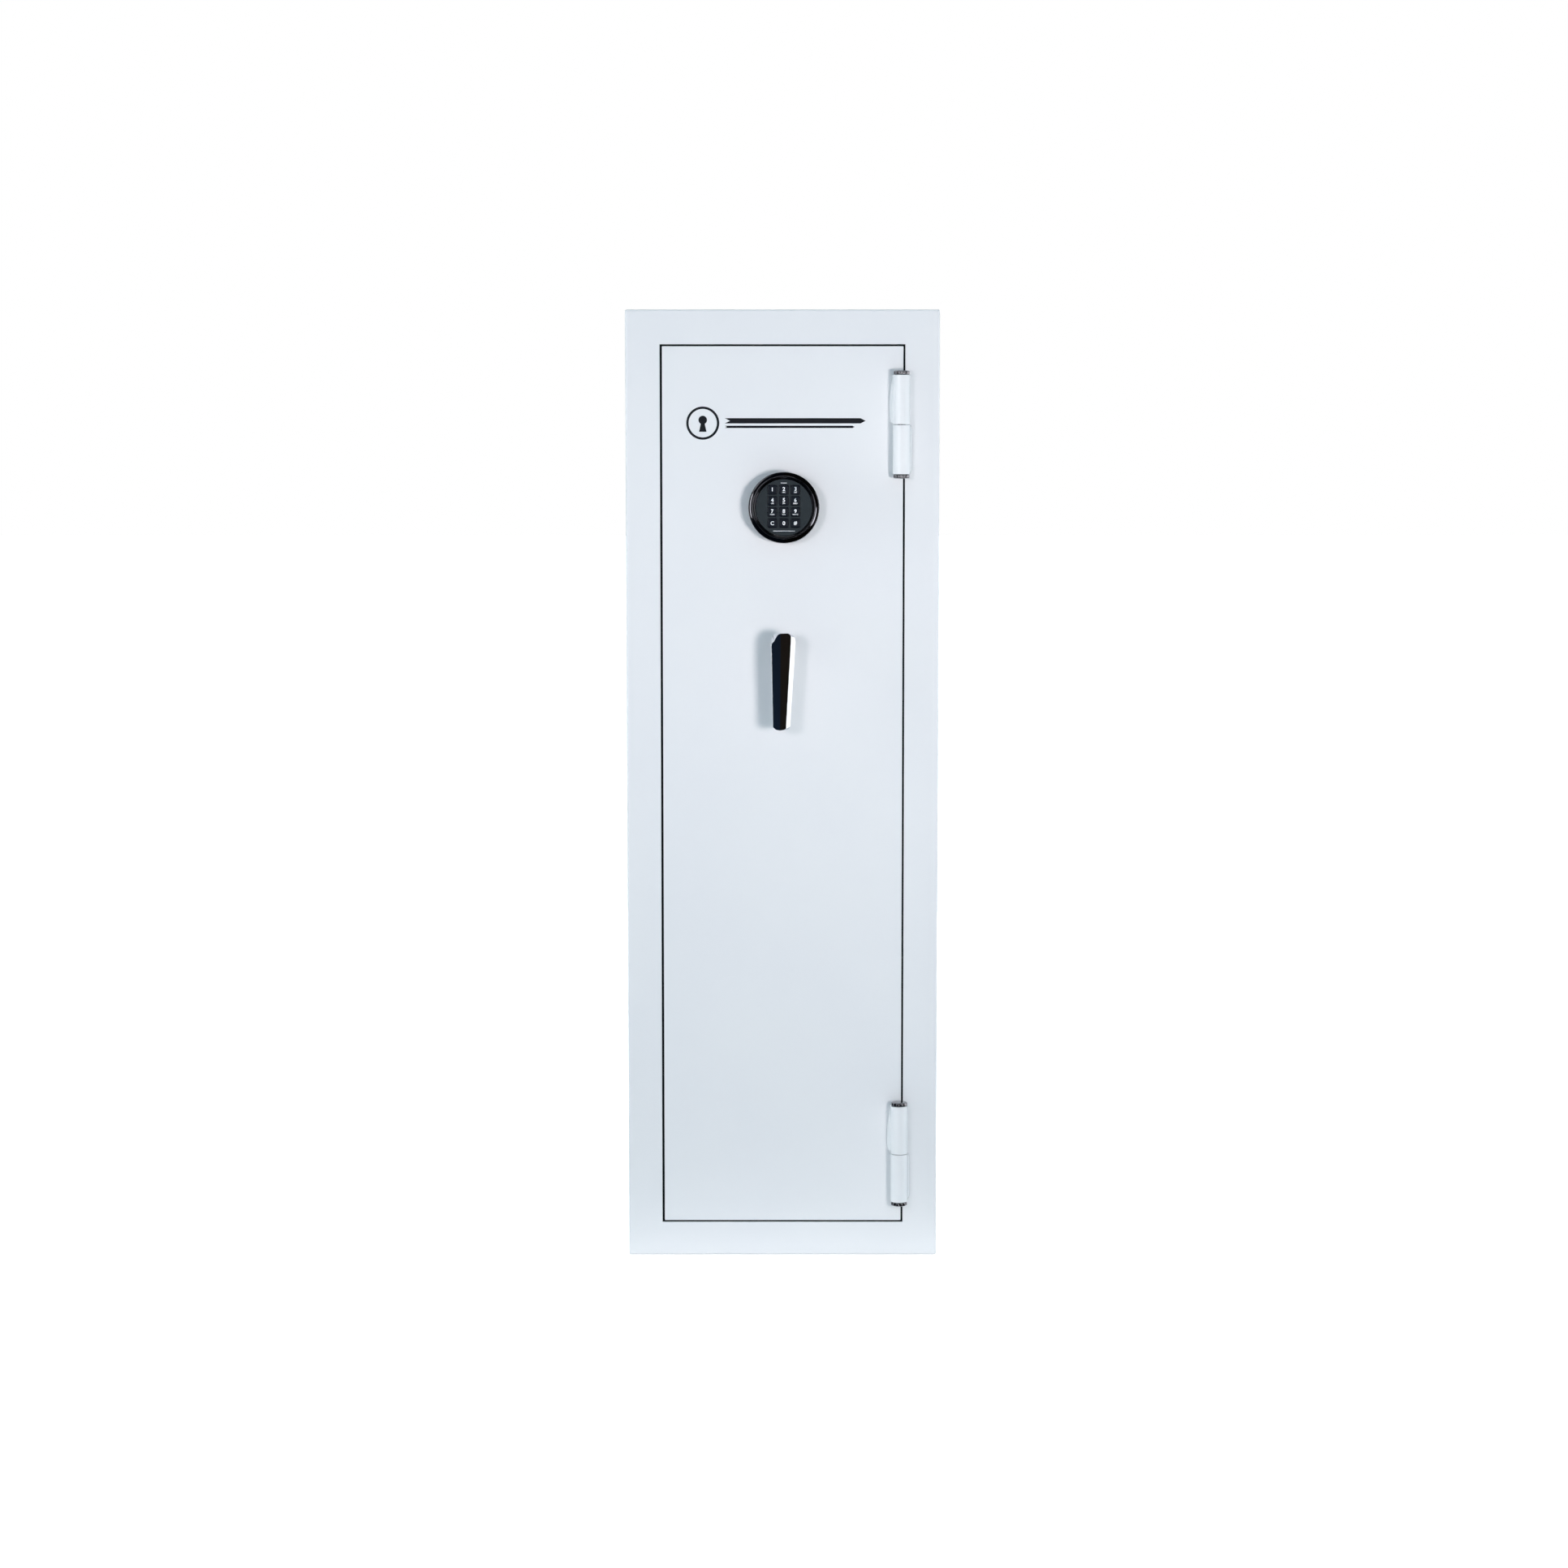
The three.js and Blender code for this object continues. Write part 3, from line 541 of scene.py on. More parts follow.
def carve(piece, cutters):
    """Cuts solids out of a piece for good."""
    for cutter in cutters:
        modifier = piece.modifiers.new("hole", "BOOLEAN")
        modifier.operation = "DIFFERENCE"
        modifier.solver = "EXACT"
        modifier.object = cutter
    weighted = piece.modifiers.get("flat faces stay flat")
    weighted.show_viewport = False
    graph = bpy.context.evaluated_depsgraph_get()
    carved = bpy.data.meshes.new_from_object(piece.evaluated_get(graph))
    weighted.show_viewport = True
    for modifier in [m for m in piece.modifiers if m.type == "BOOLEAN"]:
        piece.modifiers.remove(modifier)
    old = piece.data
    piece.data = carved
    bpy.data.meshes.remove(old)
    for cutter in cutters:
        bpy.data.objects.remove(cutter)


def hole_cutter(radius, x, y, z):
    bm = turned([(radius, z[0]), (radius, z[1])], "z", Vector((x, y, 0)), 32)
    mesh = bpy.data.meshes.new("cutter")
    bmesh.ops.recalc_face_normals(bm, faces=bm.faces)
    bm.to_mesh(mesh)
    bm.free()
    cutter = bpy.data.objects.new("cutter", mesh)
    SCENE.collection.objects.link(cutter)
    return cutter


ANCHOR_RADIUS = 6.5 * MM
ANCHOR_X = 150 * MM
ANCHOR_Y = 140 * MM
ANCHOR_PLACES = [(x, y) for x in (-ANCHOR_X, ANCHOR_X) for y in (-ANCHOR_Y, ANCHOR_Y)]


def build_cabinet_shell():
    shell = finish_piece(
        framed(shell_section()), "cabinet_shell", COAT, "cabinet",
        ["frame_left_member", "frame_right_member", "frame_top_member", "frame_bottom_member",
         "side_panel_left", "side_panel_right", "top_panel", "floor_panel"],
    )
    cutters = [hole_cutter(ANCHOR_RADIUS, x, y, (-SHEET, 2 * SHEET)) for x, y in ANCHOR_PLACES]
    carve(shell, cutters)

    reach = SIDE - REAR_RETURN - BACK_GAP
    base = REAR_RETURN + BACK_GAP
    corners = rectangle(-reach, reach, base, HEIGHT - base)
    back = panel(fillet(corners, [BACK_CORNER] * 4), [], BACK - SHEET, SHEET - BACK_GAP, BACK_EDGE)
    finish_piece(back, "back_sheet", COAT, "cabinet", ["back_panel"])


SEAL_LIP = 3.6 * MM  # the lip starts this far behind the cabinet's front; this dark lip on the rebate wall is painted shade in the door gap
SEAL_FRONT = 6.9 * MM
SEAL_WIDTH = 11.5 * MM
SEAL_THICK = 0.5 * MM
SEAL_GAP = 0.05 * MM


def build_seal():
    """The fire seal, an angle that lines the rebate's wall and the stop behind the door's plate. It is
    partly real seal and partly painted shade: its dark graphite lip along the rebate wall keeps the door
    gap black.
    """
    inner = FACE_WIDTH + SEAL_GAP
    wall = inner + SEAL_THICK
    outer = FACE_WIDTH + SEAL_WIDTH
    corners = [(inner, SEAL_LIP), (wall, SEAL_LIP), (wall, SEAL_FRONT),
               (outer, SEAL_FRONT), (outer, REBATE), (inner, REBATE)]
    section = fillet(corners, [0.1 * MM, 0.2 * MM, 0.3 * MM, 0.4 * MM, 0.1 * MM, 0.1 * MM], 3)
    finish_piece(framed(section), "door_seal_and_gap_shade", SEAL_AND_GAP_SHADE, "cabinet")


def build_anchor_plugs():
    for i, (x, y) in enumerate(ANCHOR_PLACES):
        profile = [(0.5, 0.2), (5.4, 0.2), (6.2, 0.6), (6.2, 2.6), (5.6, 3.1), (0.5, 3.1)]
        plug = turned([(radius * MM, z * MM) for radius, z in profile], "z", Vector((x, y, 0)), 32)
        finish_piece(plug, f"anchor_plug_{i + 1}", CASE_PLASTIC, "cabinet")


# ---------- lining and fittings ----------
def pile_height(x, y):
    broad = noise.noise(Vector((x * 9, y * 9, 0)))
    fine = noise.noise(Vector((x * 240, y * 240, 3)))
    return 0.35 * broad + 0.65 * fine


PILE_STEP = 3 * MM
PILE_RELIEF = 0.45 * MM
PILE_DROOP = 0.8 * MM
PILE_EDGE = 2 * MM


def border(grid):
    """The outermost points of a grid, in order round it."""
    right = [row[-1] for row in grid[1:]]
    left = [row[0] for row in reversed(grid[1:-1])]
    return [*grid[0], *right, *reversed(grid[-1][:-1]), *left]


def build_carpet():
    """A cut piece of carpet laid on the floor, its top worked into a soft uneven pile."""
    base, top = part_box("floor_carpet")
    columns = round((top.x - base.x) / PILE_STEP)
    rows = round((top.y - base.y) / PILE_STEP)
    bm = bmesh.new()
    grid = []
    for j in range(rows + 1):
        line = []
        for i in range(columns + 1):
            x = base.x + (top.x - base.x) * i / columns
            y = base.y + (top.y - base.y) * j / rows
            from_edge = min(x - base.x, top.x - x, y - base.y, top.y - y)
            droop = PILE_DROOP * max(0, 1 - from_edge / PILE_EDGE) ** 2
            rise = PILE_RELIEF * (pile_height(x, y) - 1)
            line.append(bm.verts.new((x, y, top.z + rise - droop)))
        grid.append(line)
    under = [[bm.verts.new((v.co.x, v.co.y, base.z)) for v in line] for line in grid]
    for lines in (grid, under):
        for near, far in zip(lines, lines[1:]):
            for i in range(columns):
                bm.faces.new((near[i], near[i + 1], far[i + 1], far[i]))
    rim = border(grid)
    low_rim = border(under)
    for i in range(len(rim)):
        j = (i + 1) % len(rim)
        bm.faces.new((rim[i], low_rim[i], low_rim[j], rim[j]))
    return finish_piece(bm, "floor_carpet_pile", CARPET, "cabinet", ["floor_carpet"],
                        weighted=False)


def build_lining():
    for node in ("liner_left", "liner_right", "liner_back", "liner_ceiling"):
        dress(node, node + "_felt", FELT, 1.5 * MM, 3)
    dress("shelf", "shelf_board", FELT, 3 * MM, 4)
    dress("barrel_rack", "barrel_rack_board", FELT, 2.5 * MM, 3)
    for node in ("shelf_rail_left", "shelf_rail_right"):
        dress(node, node + "_angle", COAT, 0.5 * MM)
    repaint("body_fireboard", BOARD)


# ---------- hinges ----------
FLAG_INSIDE = 6.3 * MM
FLAG_SEAT = 12.6 * MM
FLAG_ROOT = 0.3 * MM
FLAG_WAIST = 3  # points between the barrel and the flag's foot
DOOR_FLAG = 4.9 * MM
DOOR_FLARE = 0.05
DOOR_TAPER_START = 0.35
FRAME_FLAG = 3.4 * MM
FRAME_FLARE = 0.04
PIN_BORE = 6.3 * MM
KNUCKLE_SHELL = 0.5 * MM
KNUCKLE_EASE = 0.7 * MM
KNUCKLE_STATIONS = 36
JOINT_GAP = 0.45 * MM


def barrel_section(side, reach, radius, shrink, steps=40):
    """A hinge barrel and its welded flag, round the pin: side -1 is the door's half, 1 the frame's."""
    outer = radius - shrink
    meet = math.sqrt(radius ** 2 - FLAG_INSIDE ** 2)
    start = math.atan2(meet, -FLAG_INSIDE)
    end = 2 * math.pi
    points = []
    for i in range(steps + 1):
        angle = start + (end - start) * i / steps
        points.append((outer * math.cos(angle), outer * math.sin(angle)))
    foot = reach - shrink
    seat = FLAG_SEAT - shrink
    for i in range(1, FLAG_WAIST + 1):
        share = i / FLAG_WAIST
        points.append((outer + (foot - outer) * share ** 1.5, seat * 0.8 * share))
    points += [(foot, seat), (FLAG_INSIDE, seat), (0, outer), (-FLAG_INSIDE * 0.6, outer * 0.97)]
    return [Vector((side * x, y)) for x, y in points]


def knuckle_stations(ease):
    """Shares of a knuckle's length: close together at its eased ends and where the flag flares."""
    along = [(k / KNUCKLE_STATIONS) ** 1.6 for k in range(1, KNUCKLE_STATIONS)]
    along = [share for share in along if ease * 1.5 < share < 1 - ease * 1.5]
    return [ease * k / 3 for k in range(4)] + along + [1 - ease * (1 - k / 3) for k in range(4)]


def knuckle(side, joint, end, pin, reach_at):
    """One half of a barrel hinge, from the joint line to its far end, bored for the pin."""
    radius = high("upper_hinge_pin").x - middle("upper_hinge_pin").x + KNUCKLE_SHELL
    length = end - joint
    ease = KNUCKLE_EASE / abs(length)
    outer = []
    inner = []
    for share in knuckle_stations(ease):
        near_end = min(share, 1 - share, ease) * abs(length)
        shrink = KNUCKLE_EASE - math.sqrt(max(0, KNUCKLE_EASE ** 2 - (KNUCKLE_EASE - near_end) ** 2))
        section = barrel_section(side, reach_at(share, radius), radius, shrink)
        z = joint + length * share
        outer.append([Vector((pin.x + p.x, pin.y + p.y, z)) for p in section])
        inner.append([Vector((pin.x, pin.y, z)) + p.to_3d().normalized() * PIN_BORE for p in section])
    return loft(outer + inner[::-1], closed=True)


def door_flag(share, radius):
    """The door's flag flares just above the joint and tapers away towards the top."""
    flare = 1 - math.exp(-share / DOOR_FLARE)
    taper = math.cos(math.pi / 2 * max(0, (share - DOOR_TAPER_START) / (1 - DOOR_TAPER_START)))
    return radius + FLAG_ROOT + DOOR_FLAG * flare * taper


def frame_flag(share, radius):
    """The frame's flag keeps one width, rounded off at both ends."""
    return radius + FLAG_ROOT + FRAME_FLAG * (1 - math.exp(-share / FRAME_FLARE)) * (1 - share ** 24)


CAP_TALL = 6 * MM
CAP_FLUTES = 12
CAP_SIDES = 14 * CAP_FLUTES
CAP_FLUTE_DEPTH = 1.3 * MM
CAP_GAP = 0.3 * MM


def hinge_cap(name, node, pin, base, direction, body):
    """A chrome end cap with a knurled rim and a polished crown; the lower one carries the pin."""
    radius = high("upper_hinge_top_cap").x - middle("upper_hinge_top_cap").x
    profile = [
        (radius * 0.5, 0), (radius * 0.90, 0), (radius * 0.94, 0.5 * MM),
        (radius, 1.1 * MM, True), (radius, 4.3 * MM, True), (radius * 0.955, 4.8 * MM),
        (radius * 0.93, 5.2 * MM), (radius * 0.86, 5.75 * MM),
        (radius * 0.72, CAP_TALL), (radius * 0.05, CAP_TALL),
    ]
    placed = [(r, direction * h, *flag) for r, h, *flag in profile]
    bm = turned(placed, "z", Vector((pin.x, pin.y, base)), CAP_SIDES, CAP_FLUTES, CAP_FLUTE_DEPTH)
    if direction < 0:
        tall = high(node).z - base
        shaft = [(5.4 * MM, 0.2 * MM), (6 * MM, 0.8 * MM), (6 * MM, tall - 1 * MM), (5.2 * MM, tall)]
        join_in(bm, turned(shaft, "z", Vector((pin.x, pin.y, base)), 40))
    finish_piece(bm, name, CAP_CHROME, body, [node], 50)


def build_hinges():
    for which in ("upper", "lower"):
        pin = middle(f"{which}_hinge_pin")
        joint = (high(f"{which}_hinge_frame_knuckle").z + low(f"{which}_hinge_door_knuckle").z) / 2
        top = high(f"{which}_hinge_door_knuckle").z
        bottom = low(f"{which}_hinge_frame_knuckle").z
        finish_piece(knuckle(-1, joint + JOINT_GAP, top, pin, door_flag), f"{which}_hinge_door_half",
                     HINGE_COAT, "door", [f"{which}_hinge_door_knuckle"])
        finish_piece(knuckle(1, joint - JOINT_GAP, bottom, pin, frame_flag), f"{which}_hinge_frame_half",
                     HINGE_COAT, "cabinet", [f"{which}_hinge_frame_knuckle"])
        cap = f"{which}_hinge_top_cap"
        hinge_cap(f"{which}_hinge_crown", cap, pin, low(cap).z, 1, "door")
        head = bottom - CAP_GAP
        hinge_cap(f"{which}_hinge_pin_and_head", f"{which}_hinge_pin", pin, head, -1, "cabinet")


# ---------- door ----------
PLATE_INSET = 0.4 * MM
PLATE_CORNER = 0.8 * MM
PLATE_EDGE = 0.4 * MM
CABLE_HOLE = 6 * MM
SPINDLE_HOLE = 10 * MM


def build_door():
    base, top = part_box("door_plate")
    inset = PLATE_INSET
    corners = rectangle(base.x + inset, top.x - inset, base.z + inset, top.z - inset)
    holes = [
        circle(CABLE_HOLE, 32, (KEYPAD.x, KEYPAD.z)),
        circle(SPINDLE_HOLE, 48, (SPINDLE.x, SPINDLE.z)),
    ]
    plate = panel(fillet(corners, [PLATE_CORNER] * 4, 3), holes, base.y, top.y - base.y, PLATE_EDGE)
    finish_piece(plate, "door_face_plate", COAT, "door", ["door_plate"])

    dress("door_pan", "door_inner_pan", COAT, 0.8 * MM, 3)
    dress("door_trim_panel", "door_trim_board", FELT, 1.5 * MM, 3)
    dress("dead_bar", "hinge_side_dead_bar", STEEL, 0.8 * MM)
    dress("hard_plate", "lock_hard_plate", DARK_STEEL, 0.5 * MM)
    dress("bolt_guide_rail", "bolt_guide_angle", STEEL, 0.4 * MM)
    dress("lock_case", "lock_case_body", ZINC, 1.0 * MM, 3)
    repaint("door_fireboard", BOARD)


def hexagonal(radius, angle):
    """Distance to the side of a hexagon whose flats lie at that radius."""
    folded = (angle + math.pi / 6) % (math.pi / 3) - math.pi / 6
    return radius / math.cos(folded)


def button_head(centre, sides=48):
    """A button-head screw with a hexagon socket, facing +Y."""
    head = [(4.2, 0.0), (4.2, 0.5), (3.9, 1.2), (3.2, 1.8), (2.4, 2.15)]
    socket = [(1.35, 2.15), (1.25, 2.0), (1.25, 0.9)]
    rings = []
    for radius, proud in head + socket:
        ring = []
        for angle in full_turn(sides):
            reach = hexagonal(radius, angle) if (radius, proud) in socket else radius
            ring.append(centre + Vector((reach * math.cos(angle), proud, reach * math.sin(angle))) * MM)
        rings.append(ring)
    return loft(rings)


SCREW_INSET = 12 * MM
SCREW_ROWS = 5


def build_trim_screws():
    base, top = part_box("door_trim_panel")
    span = top.z - base.z - 2 * SCREW_INSET
    number = 1
    for x in (base.x + SCREW_INSET, top.x - SCREW_INSET):
        for k in range(SCREW_ROWS):
            z = base.z + SCREW_INSET + span * k / (SCREW_ROWS - 1)
            screw = button_head(Vector((x, top.y, z)))
            finish_piece(screw, f"trim_screw_{number}", BOLT_CHROME, "door", weighted=False)
            number += 1


# ---------- keypad ----------
def raised(proud):
    """How far the keypad's slanting front has moved up at that height above the door."""
    return DISC_RISE * proud / KEYPAD_PROUD


BEZEL_SIDES = 192


def build_bezel():
    """The ring round the keypad's face, its profile as (radius, distance off the door) in millimetres."""
    rim = KEYPAD_RADIUS / MM
    well = (high("keypad_disc").x - low("keypad_disc").x) / 2 / MM + 0.6
    front = KEYPAD_PROUD / MM
    profile = [
        # the skirt and its rolled shoulder
        (rim - 0.6, 0.35), (rim, 0.9), (rim, 12), (rim, 26.0), (rim - 0.15, 26.8), (rim - 0.5, 27.3),
        # the shallow crowned rim
        (rim - 1.1, 27.65), (rim - 1.9, 28.0), (rim - 2.9, 28.33), (rim - 3.9, 28.6), (rim - 5.0, 28.82),
        # the raised bead
        (rim - 5.6, 28.95), (rim - 5.85, 29.3), (rim - 6.15, 29.75), (rim - 6.6, front),
        (rim - 7.05, 29.75), (rim - 7.35, 29.2), (rim - 7.5, 28.5),
        # the slope down to the well
        (well + 1.0, 27.2), (well + 0.4, 26.7), (well + 0.1, 26.2), (well, 25.2), (well, 12), (well, 0.35),
    ]
    rings = []
    for radius, proud in profile:
        centre = KEYPAD + Vector((0, -proud * MM, raised(proud * MM)))
        rings.append([centre + Vector((p.x, 0, p.y)) for p in circle(radius * MM, BEZEL_SIDES)])
    finish_piece(loft(rings, closed=True), "keypad_bezel_ring", BLACK_CHROME, "door",
                 ["keypad_bezel"], 60, weighted=False)


KEY_LABELS = {
    "key_1": ("1", ""), "key_2": ("2", "ABC"), "key_3": ("3", "DEF"),
    "key_4": ("4", "GHI"), "key_5": ("5", "JKL"), "key_6": ("6", "MNO"),
    "key_7": ("7", "PQRS"), "key_8": ("8", "TUV"), "key_9": ("9", "WXYZ"),
    "key_clear": ("C", ""), "key_0": ("0", ""), "key_enter": ("#", ""),
}
KEY_CORNER = 2.2 * MM
KEY_DOME = 0.35 * MM
KEY_SHOULDER = 1.1 * MM
WINDOW_GAP = 0.25 * MM
DISC_SPREAD = 0.2 * MM
DISC_EDGE = 0.3 * MM


def square(half, corner, centre, steps=6):
    corners = rectangle(-half, half, -half, half)
    return [p + Vector(centre) for p in fillet(corners, [corner] * 4, steps)]


def build_disc():
    base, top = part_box("keypad_disc")
    centre = KEYPAD.z + raised(DISC_PROUD)
    outline = circle((top.x - base.x) / 2 + DISC_SPREAD, 160, (KEYPAD.x, centre))
    windows = []
    for node in KEY_LABELS:
        place = middle(node)
        half = (high(node).x - low(node).x) / 2 + WINDOW_GAP
        windows.append(square(half, KEY_CORNER + WINDOW_GAP, (place.x, place.z)))
    bm = panel(outline, windows, base.y, top.y - base.y, DISC_EDGE)
    finish_piece(bm, "keypad_face", PLASTIC, "door", ["keypad_disc"])


def build_key(node):
    """A key cap: straight skirt, rolled shoulder and a gently crowned face, whose place in y it returns."""
    base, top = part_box(node)
    place = middle(node)
    half = (top.x - base.x) / 2
    thick = top.y - base.y
    rings = [(0.2 * MM, thick), (0, thick - 0.3 * MM), (0, KEY_SHOULDER + KEY_DOME)]
    rings += [(inset, KEY_DOME + deep) for inset, deep in quarter_round(KEY_SHOULDER)]
    for share in (0.35, 0.6, 0.8, 0.97):
        rings.append((KEY_SHOULDER + (half - KEY_SHOULDER) * share, KEY_DOME * (1 - share) ** 2))
    loops = []
    for inset, deep in rings:
        size = half - inset
        corner = max(0.12 * MM, KEY_CORNER * min(1, size / half))
        corner = min(corner, size * 0.9)
        loops.append([Vector((p.x, base.y + deep, p.y)) for p in square(size, corner, (place.x, place.z))])
    finish_piece(loft(loops), node + "_cap", KEY_RUBBER, node, [node], 60, weighted=False)
    return base.y


PRINT_FILM = 0.06 * MM
DIGIT_SIZE = 7.6 * MM
DIGIT_WEIGHT = 0.24 * MM
DIGIT_LIFT = 1.3 * MM
LONE_ONE_LIFT = 0.6 * MM
LETTER_SIZE = 2.7 * MM
LETTER_WEIGHT = 0.07 * MM
LETTER_DROP = 3.6 * MM


def print_text(text, name, body, place, size, weight):
    """White printed characters, a film thick, lying on a face that looks along -Y."""
    curve = bpy.data.curves.new(name, "FONT")
    curve.body = text
    curve.size = size
    curve.align_x = "CENTER"
    curve.offset = weight
    curve.extrude = PRINT_FILM / 2
    curve.resolution_u = 6
    writer = bpy.data.objects.new(name, curve)
    SCENE.collection.objects.link(writer)
    graph = bpy.context.evaluated_depsgraph_get()
    mesh = bpy.data.meshes.new_from_object(writer.evaluated_get(graph))
    bpy.data.objects.remove(writer)
    bm = bmesh.new()
    bm.from_mesh(mesh)
    bpy.data.meshes.remove(mesh)
    bmesh.ops.remove_doubles(bm, verts=bm.verts, dist=0.002 * MM)
    xs = [v.co.x for v in bm.verts]
    ys = [v.co.y for v in bm.verts]
    centre = Vector(((min(xs) + max(xs)) / 2, (min(ys) + max(ys)) / 2, 0))
    for v in bm.verts:
        flat = v.co - centre
        v.co = place + Vector((flat.x, -flat.z, flat.y))
    finish_piece(bm, name, KEY_INK, body, weighted=False)


RULE_THICK = 0.4 * MM


def print_rule(name, half, z):
    """A plain printed rule on the keypad's face, a film thick."""
    corners = rectangle(KEYPAD.x - half, KEYPAD.x + half, z - RULE_THICK, z + RULE_THICK)
    outline = fillet(corners, [RULE_THICK * 0.9] * 4, 3)
    face = low("keypad_disc").y - PRINT_FILM
    finish_piece(panel(outline, [], face, 0.05 * MM), name, KEY_INK, "door")


def build_keypad():
    build_bezel()
    build_disc()
    for node, (digit, letters) in KEY_LABELS.items():
        face = build_key(node)
        place = middle(node)
        lift = DIGIT_LIFT if letters else 0
        if digit == "1":
            lift = LONE_ONE_LIFT
        centre = Vector((place.x, face + 0.02 * MM, place.z + lift))
        print_text(digit, f"{node}_digit", node, centre, DIGIT_SIZE, DIGIT_WEIGHT)
        if letters:
            centre = Vector((place.x, face + 0.05 * MM, place.z - LETTER_DROP))
            print_text(letters, f"{node}_letters", node, centre, LETTER_SIZE, LETTER_WEIGHT)
    print_rule("keypad_rule_lower", 16 * MM, middle("key_0").z - 11.4 * MM)
    print_rule("keypad_rule_upper", 4.5 * MM, middle("key_2").z + 9.8 * MM)
    dress("keypad_battery", "keypad_battery_box", CASE_PLASTIC, 1.5 * MM, 3)
    repaint("keypad_cable", CABLE_JACKET)


# ---------- handle ----------
LEVER_OUTLINE = [
    # millimetres from the spindle: a corner of the silhouette and its radius, the same of the front face
    ((-18.6, 4.6), 3, (-18.2, 1.0), 2),
    ((-15.9, 13.0), 1.4, (-13.8, 6.0), 0.8),
    ((-7.4, 17.8), 9, (-8.6, 16.8), 8),
    ((6.4, 17.8), 9, (7.6, 17.0), 6),
    ((14.8, 12.8), 7, (10.6, 13.0), 4),
    ((17.0, 5.0), 5, (10.4, 4.0), 4),
    ((9.0, -119.6), 3, (3.4, -121.4), 1),
    ((5.4, -123.6), 6, (0.5, -123.2), 4),
    ((-3.4, -125.3), 12, (-5.8, -124.4), 9),
    ((-11.4, -124.0), 7, (-11.8, -123.2), 6),
    ((-16.6, -119.8), 4, (-16.0, -119.2), 4),
]
LEVER_CENTRE = Vector((-2.0, -50.0))
LEVER_REAR = 35.0
LEVER_FRONT = 53.0
LEVER_SHARP = math.radians(25)
LEVER_EDGE = 0.35 * MM
RIDGE_X = -5.0 * MM
RIDGE_FALL = 0.02


def lever_rings():
    """The lever's rings from rear to front, each as (outline, distance off the door) in millimetres."""
    silhouette, outer_radii, face, face_radii = zip(*LEVER_OUTLINE)
    outer = fillet(silhouette, outer_radii, 5)
    inner = fillet(face, face_radii, 5)

    def shrunk(amount):
        return [p + (LEVER_CENTRE - p).normalized() * amount for p in outer]

    return [
        (shrunk(4.0), LEVER_REAR),
        (shrunk(2.6), LEVER_REAR + 0.5),
        (shrunk(1.1), LEVER_REAR + 1.6),
        (shrunk(0.3), LEVER_REAR + 3.2),
        (outer, LEVER_REAR + 5.2),
        (outer, LEVER_FRONT - 6.2),
        (inner, LEVER_FRONT - 0.35),
    ]


def off_the_door(profile):
    """A profile of (radius, distance off the door) in millimetres, as turned() takes it."""
    return [(radius * MM, FRONT - proud * MM) for radius, proud in profile]


def build_lever():
    """A faceted lever: a dark mirror front falling away from a ridge, and a broad bevel on the right."""
    centre = Vector((SPINDLE.x, 0, SPINDLE.z))
    step = (FRONT - low("handle_lever").y) / LEVER_FRONT
    loops = []
    for outline, proud in lever_rings():
        loops.append([centre + Vector((p.x * MM, FRONT - proud * step, p.y * MM)) for p in outline])
    bm = loft(loops)
    front = min(v.co.y for v in bm.verts)
    face = front + 0.01 * MM
    cap = [f for f in bm.faces if all(v.co.y < face for v in f.verts)]
    around = dict.fromkeys(part for f in cap for part in (*f.verts, *f.edges))
    ridge = Vector((centre.x + RIDGE_X, 0, 0))
    bmesh.ops.bisect_plane(bm, geom=[*cap, *around], plane_co=ridge, plane_no=(1, 0, 0),
                           dist=0.001 * MM)
    for v in bm.verts:
        if v.co.y < face:
            v.co.y += RIDGE_FALL * abs(v.co.x - ridge.x)
    edges = [e for e in sharp_edges(bm, LEVER_SHARP) if max(v.co.y for v in e.verts) < front + 1.2 * MM]
    round_over(bm, edges, LEVER_EDGE, 2)
    neck = turned(off_the_door([(11.2, 3.4), (12, 4.2), (12, 26), (12.3, 30), (13.2, 33.5), (14.6, 36)]),
                  "y", centre, 72)
    join_in(bm, neck)
    finish_piece(bm, "lever_handle", CHROME, "handle", ["handle_lever"], 22)


def build_spindle():
    centre = Vector((SPINDLE.x, 0, SPINDLE.z))
    back = high("handle_bushing").y
    profile = off_the_door([(13.2, 0.3), (14, 0.7), (14, 1.6), (13.4, 2.5), (12.4, 3.0), (6.3, 3.0)])
    profile += [(6.3 * MM, back), (9.7 * MM, back), (9.7 * MM, FRONT - 0.3 * MM)]
    rose = turned(profile, "y", centre, 72, bored=True)
    finish_piece(rose, "handle_rose", CHROME, "door", ["handle_bushing"])
    base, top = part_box("handle_spindle")
    ends = 0.8 * MM
    rod = turned([(5.2 * MM, base.y), (6 * MM, base.y + ends), (6 * MM, top.y - ends), (5.2 * MM, top.y)],
                 "y", centre, 48)
    finish_piece(rod, "handle_shaft", STEEL, "handle", ["handle_spindle"])
    dress("crank_arm", "handle_crank", STEEL, 0.4 * MM)


# ---------- boltwork ----------
BOLT_NOSE = 2.2 * MM


def build_boltwork():
    dress("bolt_carriage", "bolt_carriage_bar", STEEL, 0.4 * MM)
    dress("lock_bolt", "lock_bolt_tongue", BOLT_CHROME, 0.8 * MM, 3)
    for height in ("upper", "middle", "lower"):
        node = f"locking_bolt_{height}"
        base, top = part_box(node)
        radius = (top.z - base.z) / 2
        centre = Vector((0, middle(node).y, middle(node).z))
        profile = [(radius * 0.3, base.x), (radius - BOLT_NOSE, base.x)]
        profile += [(radius - inset, base.x + deep) for deep, inset in quarter_round(BOLT_NOSE)]
        profile += [(radius, top.x - 0.6 * MM), (radius - 0.6 * MM, top.x), (radius * 0.3, top.x)]
        bolt = turned(profile, "x", centre, 72)
        finish_piece(bolt, f"{node}_rod", BOLT_CHROME, "boltwork", [node])


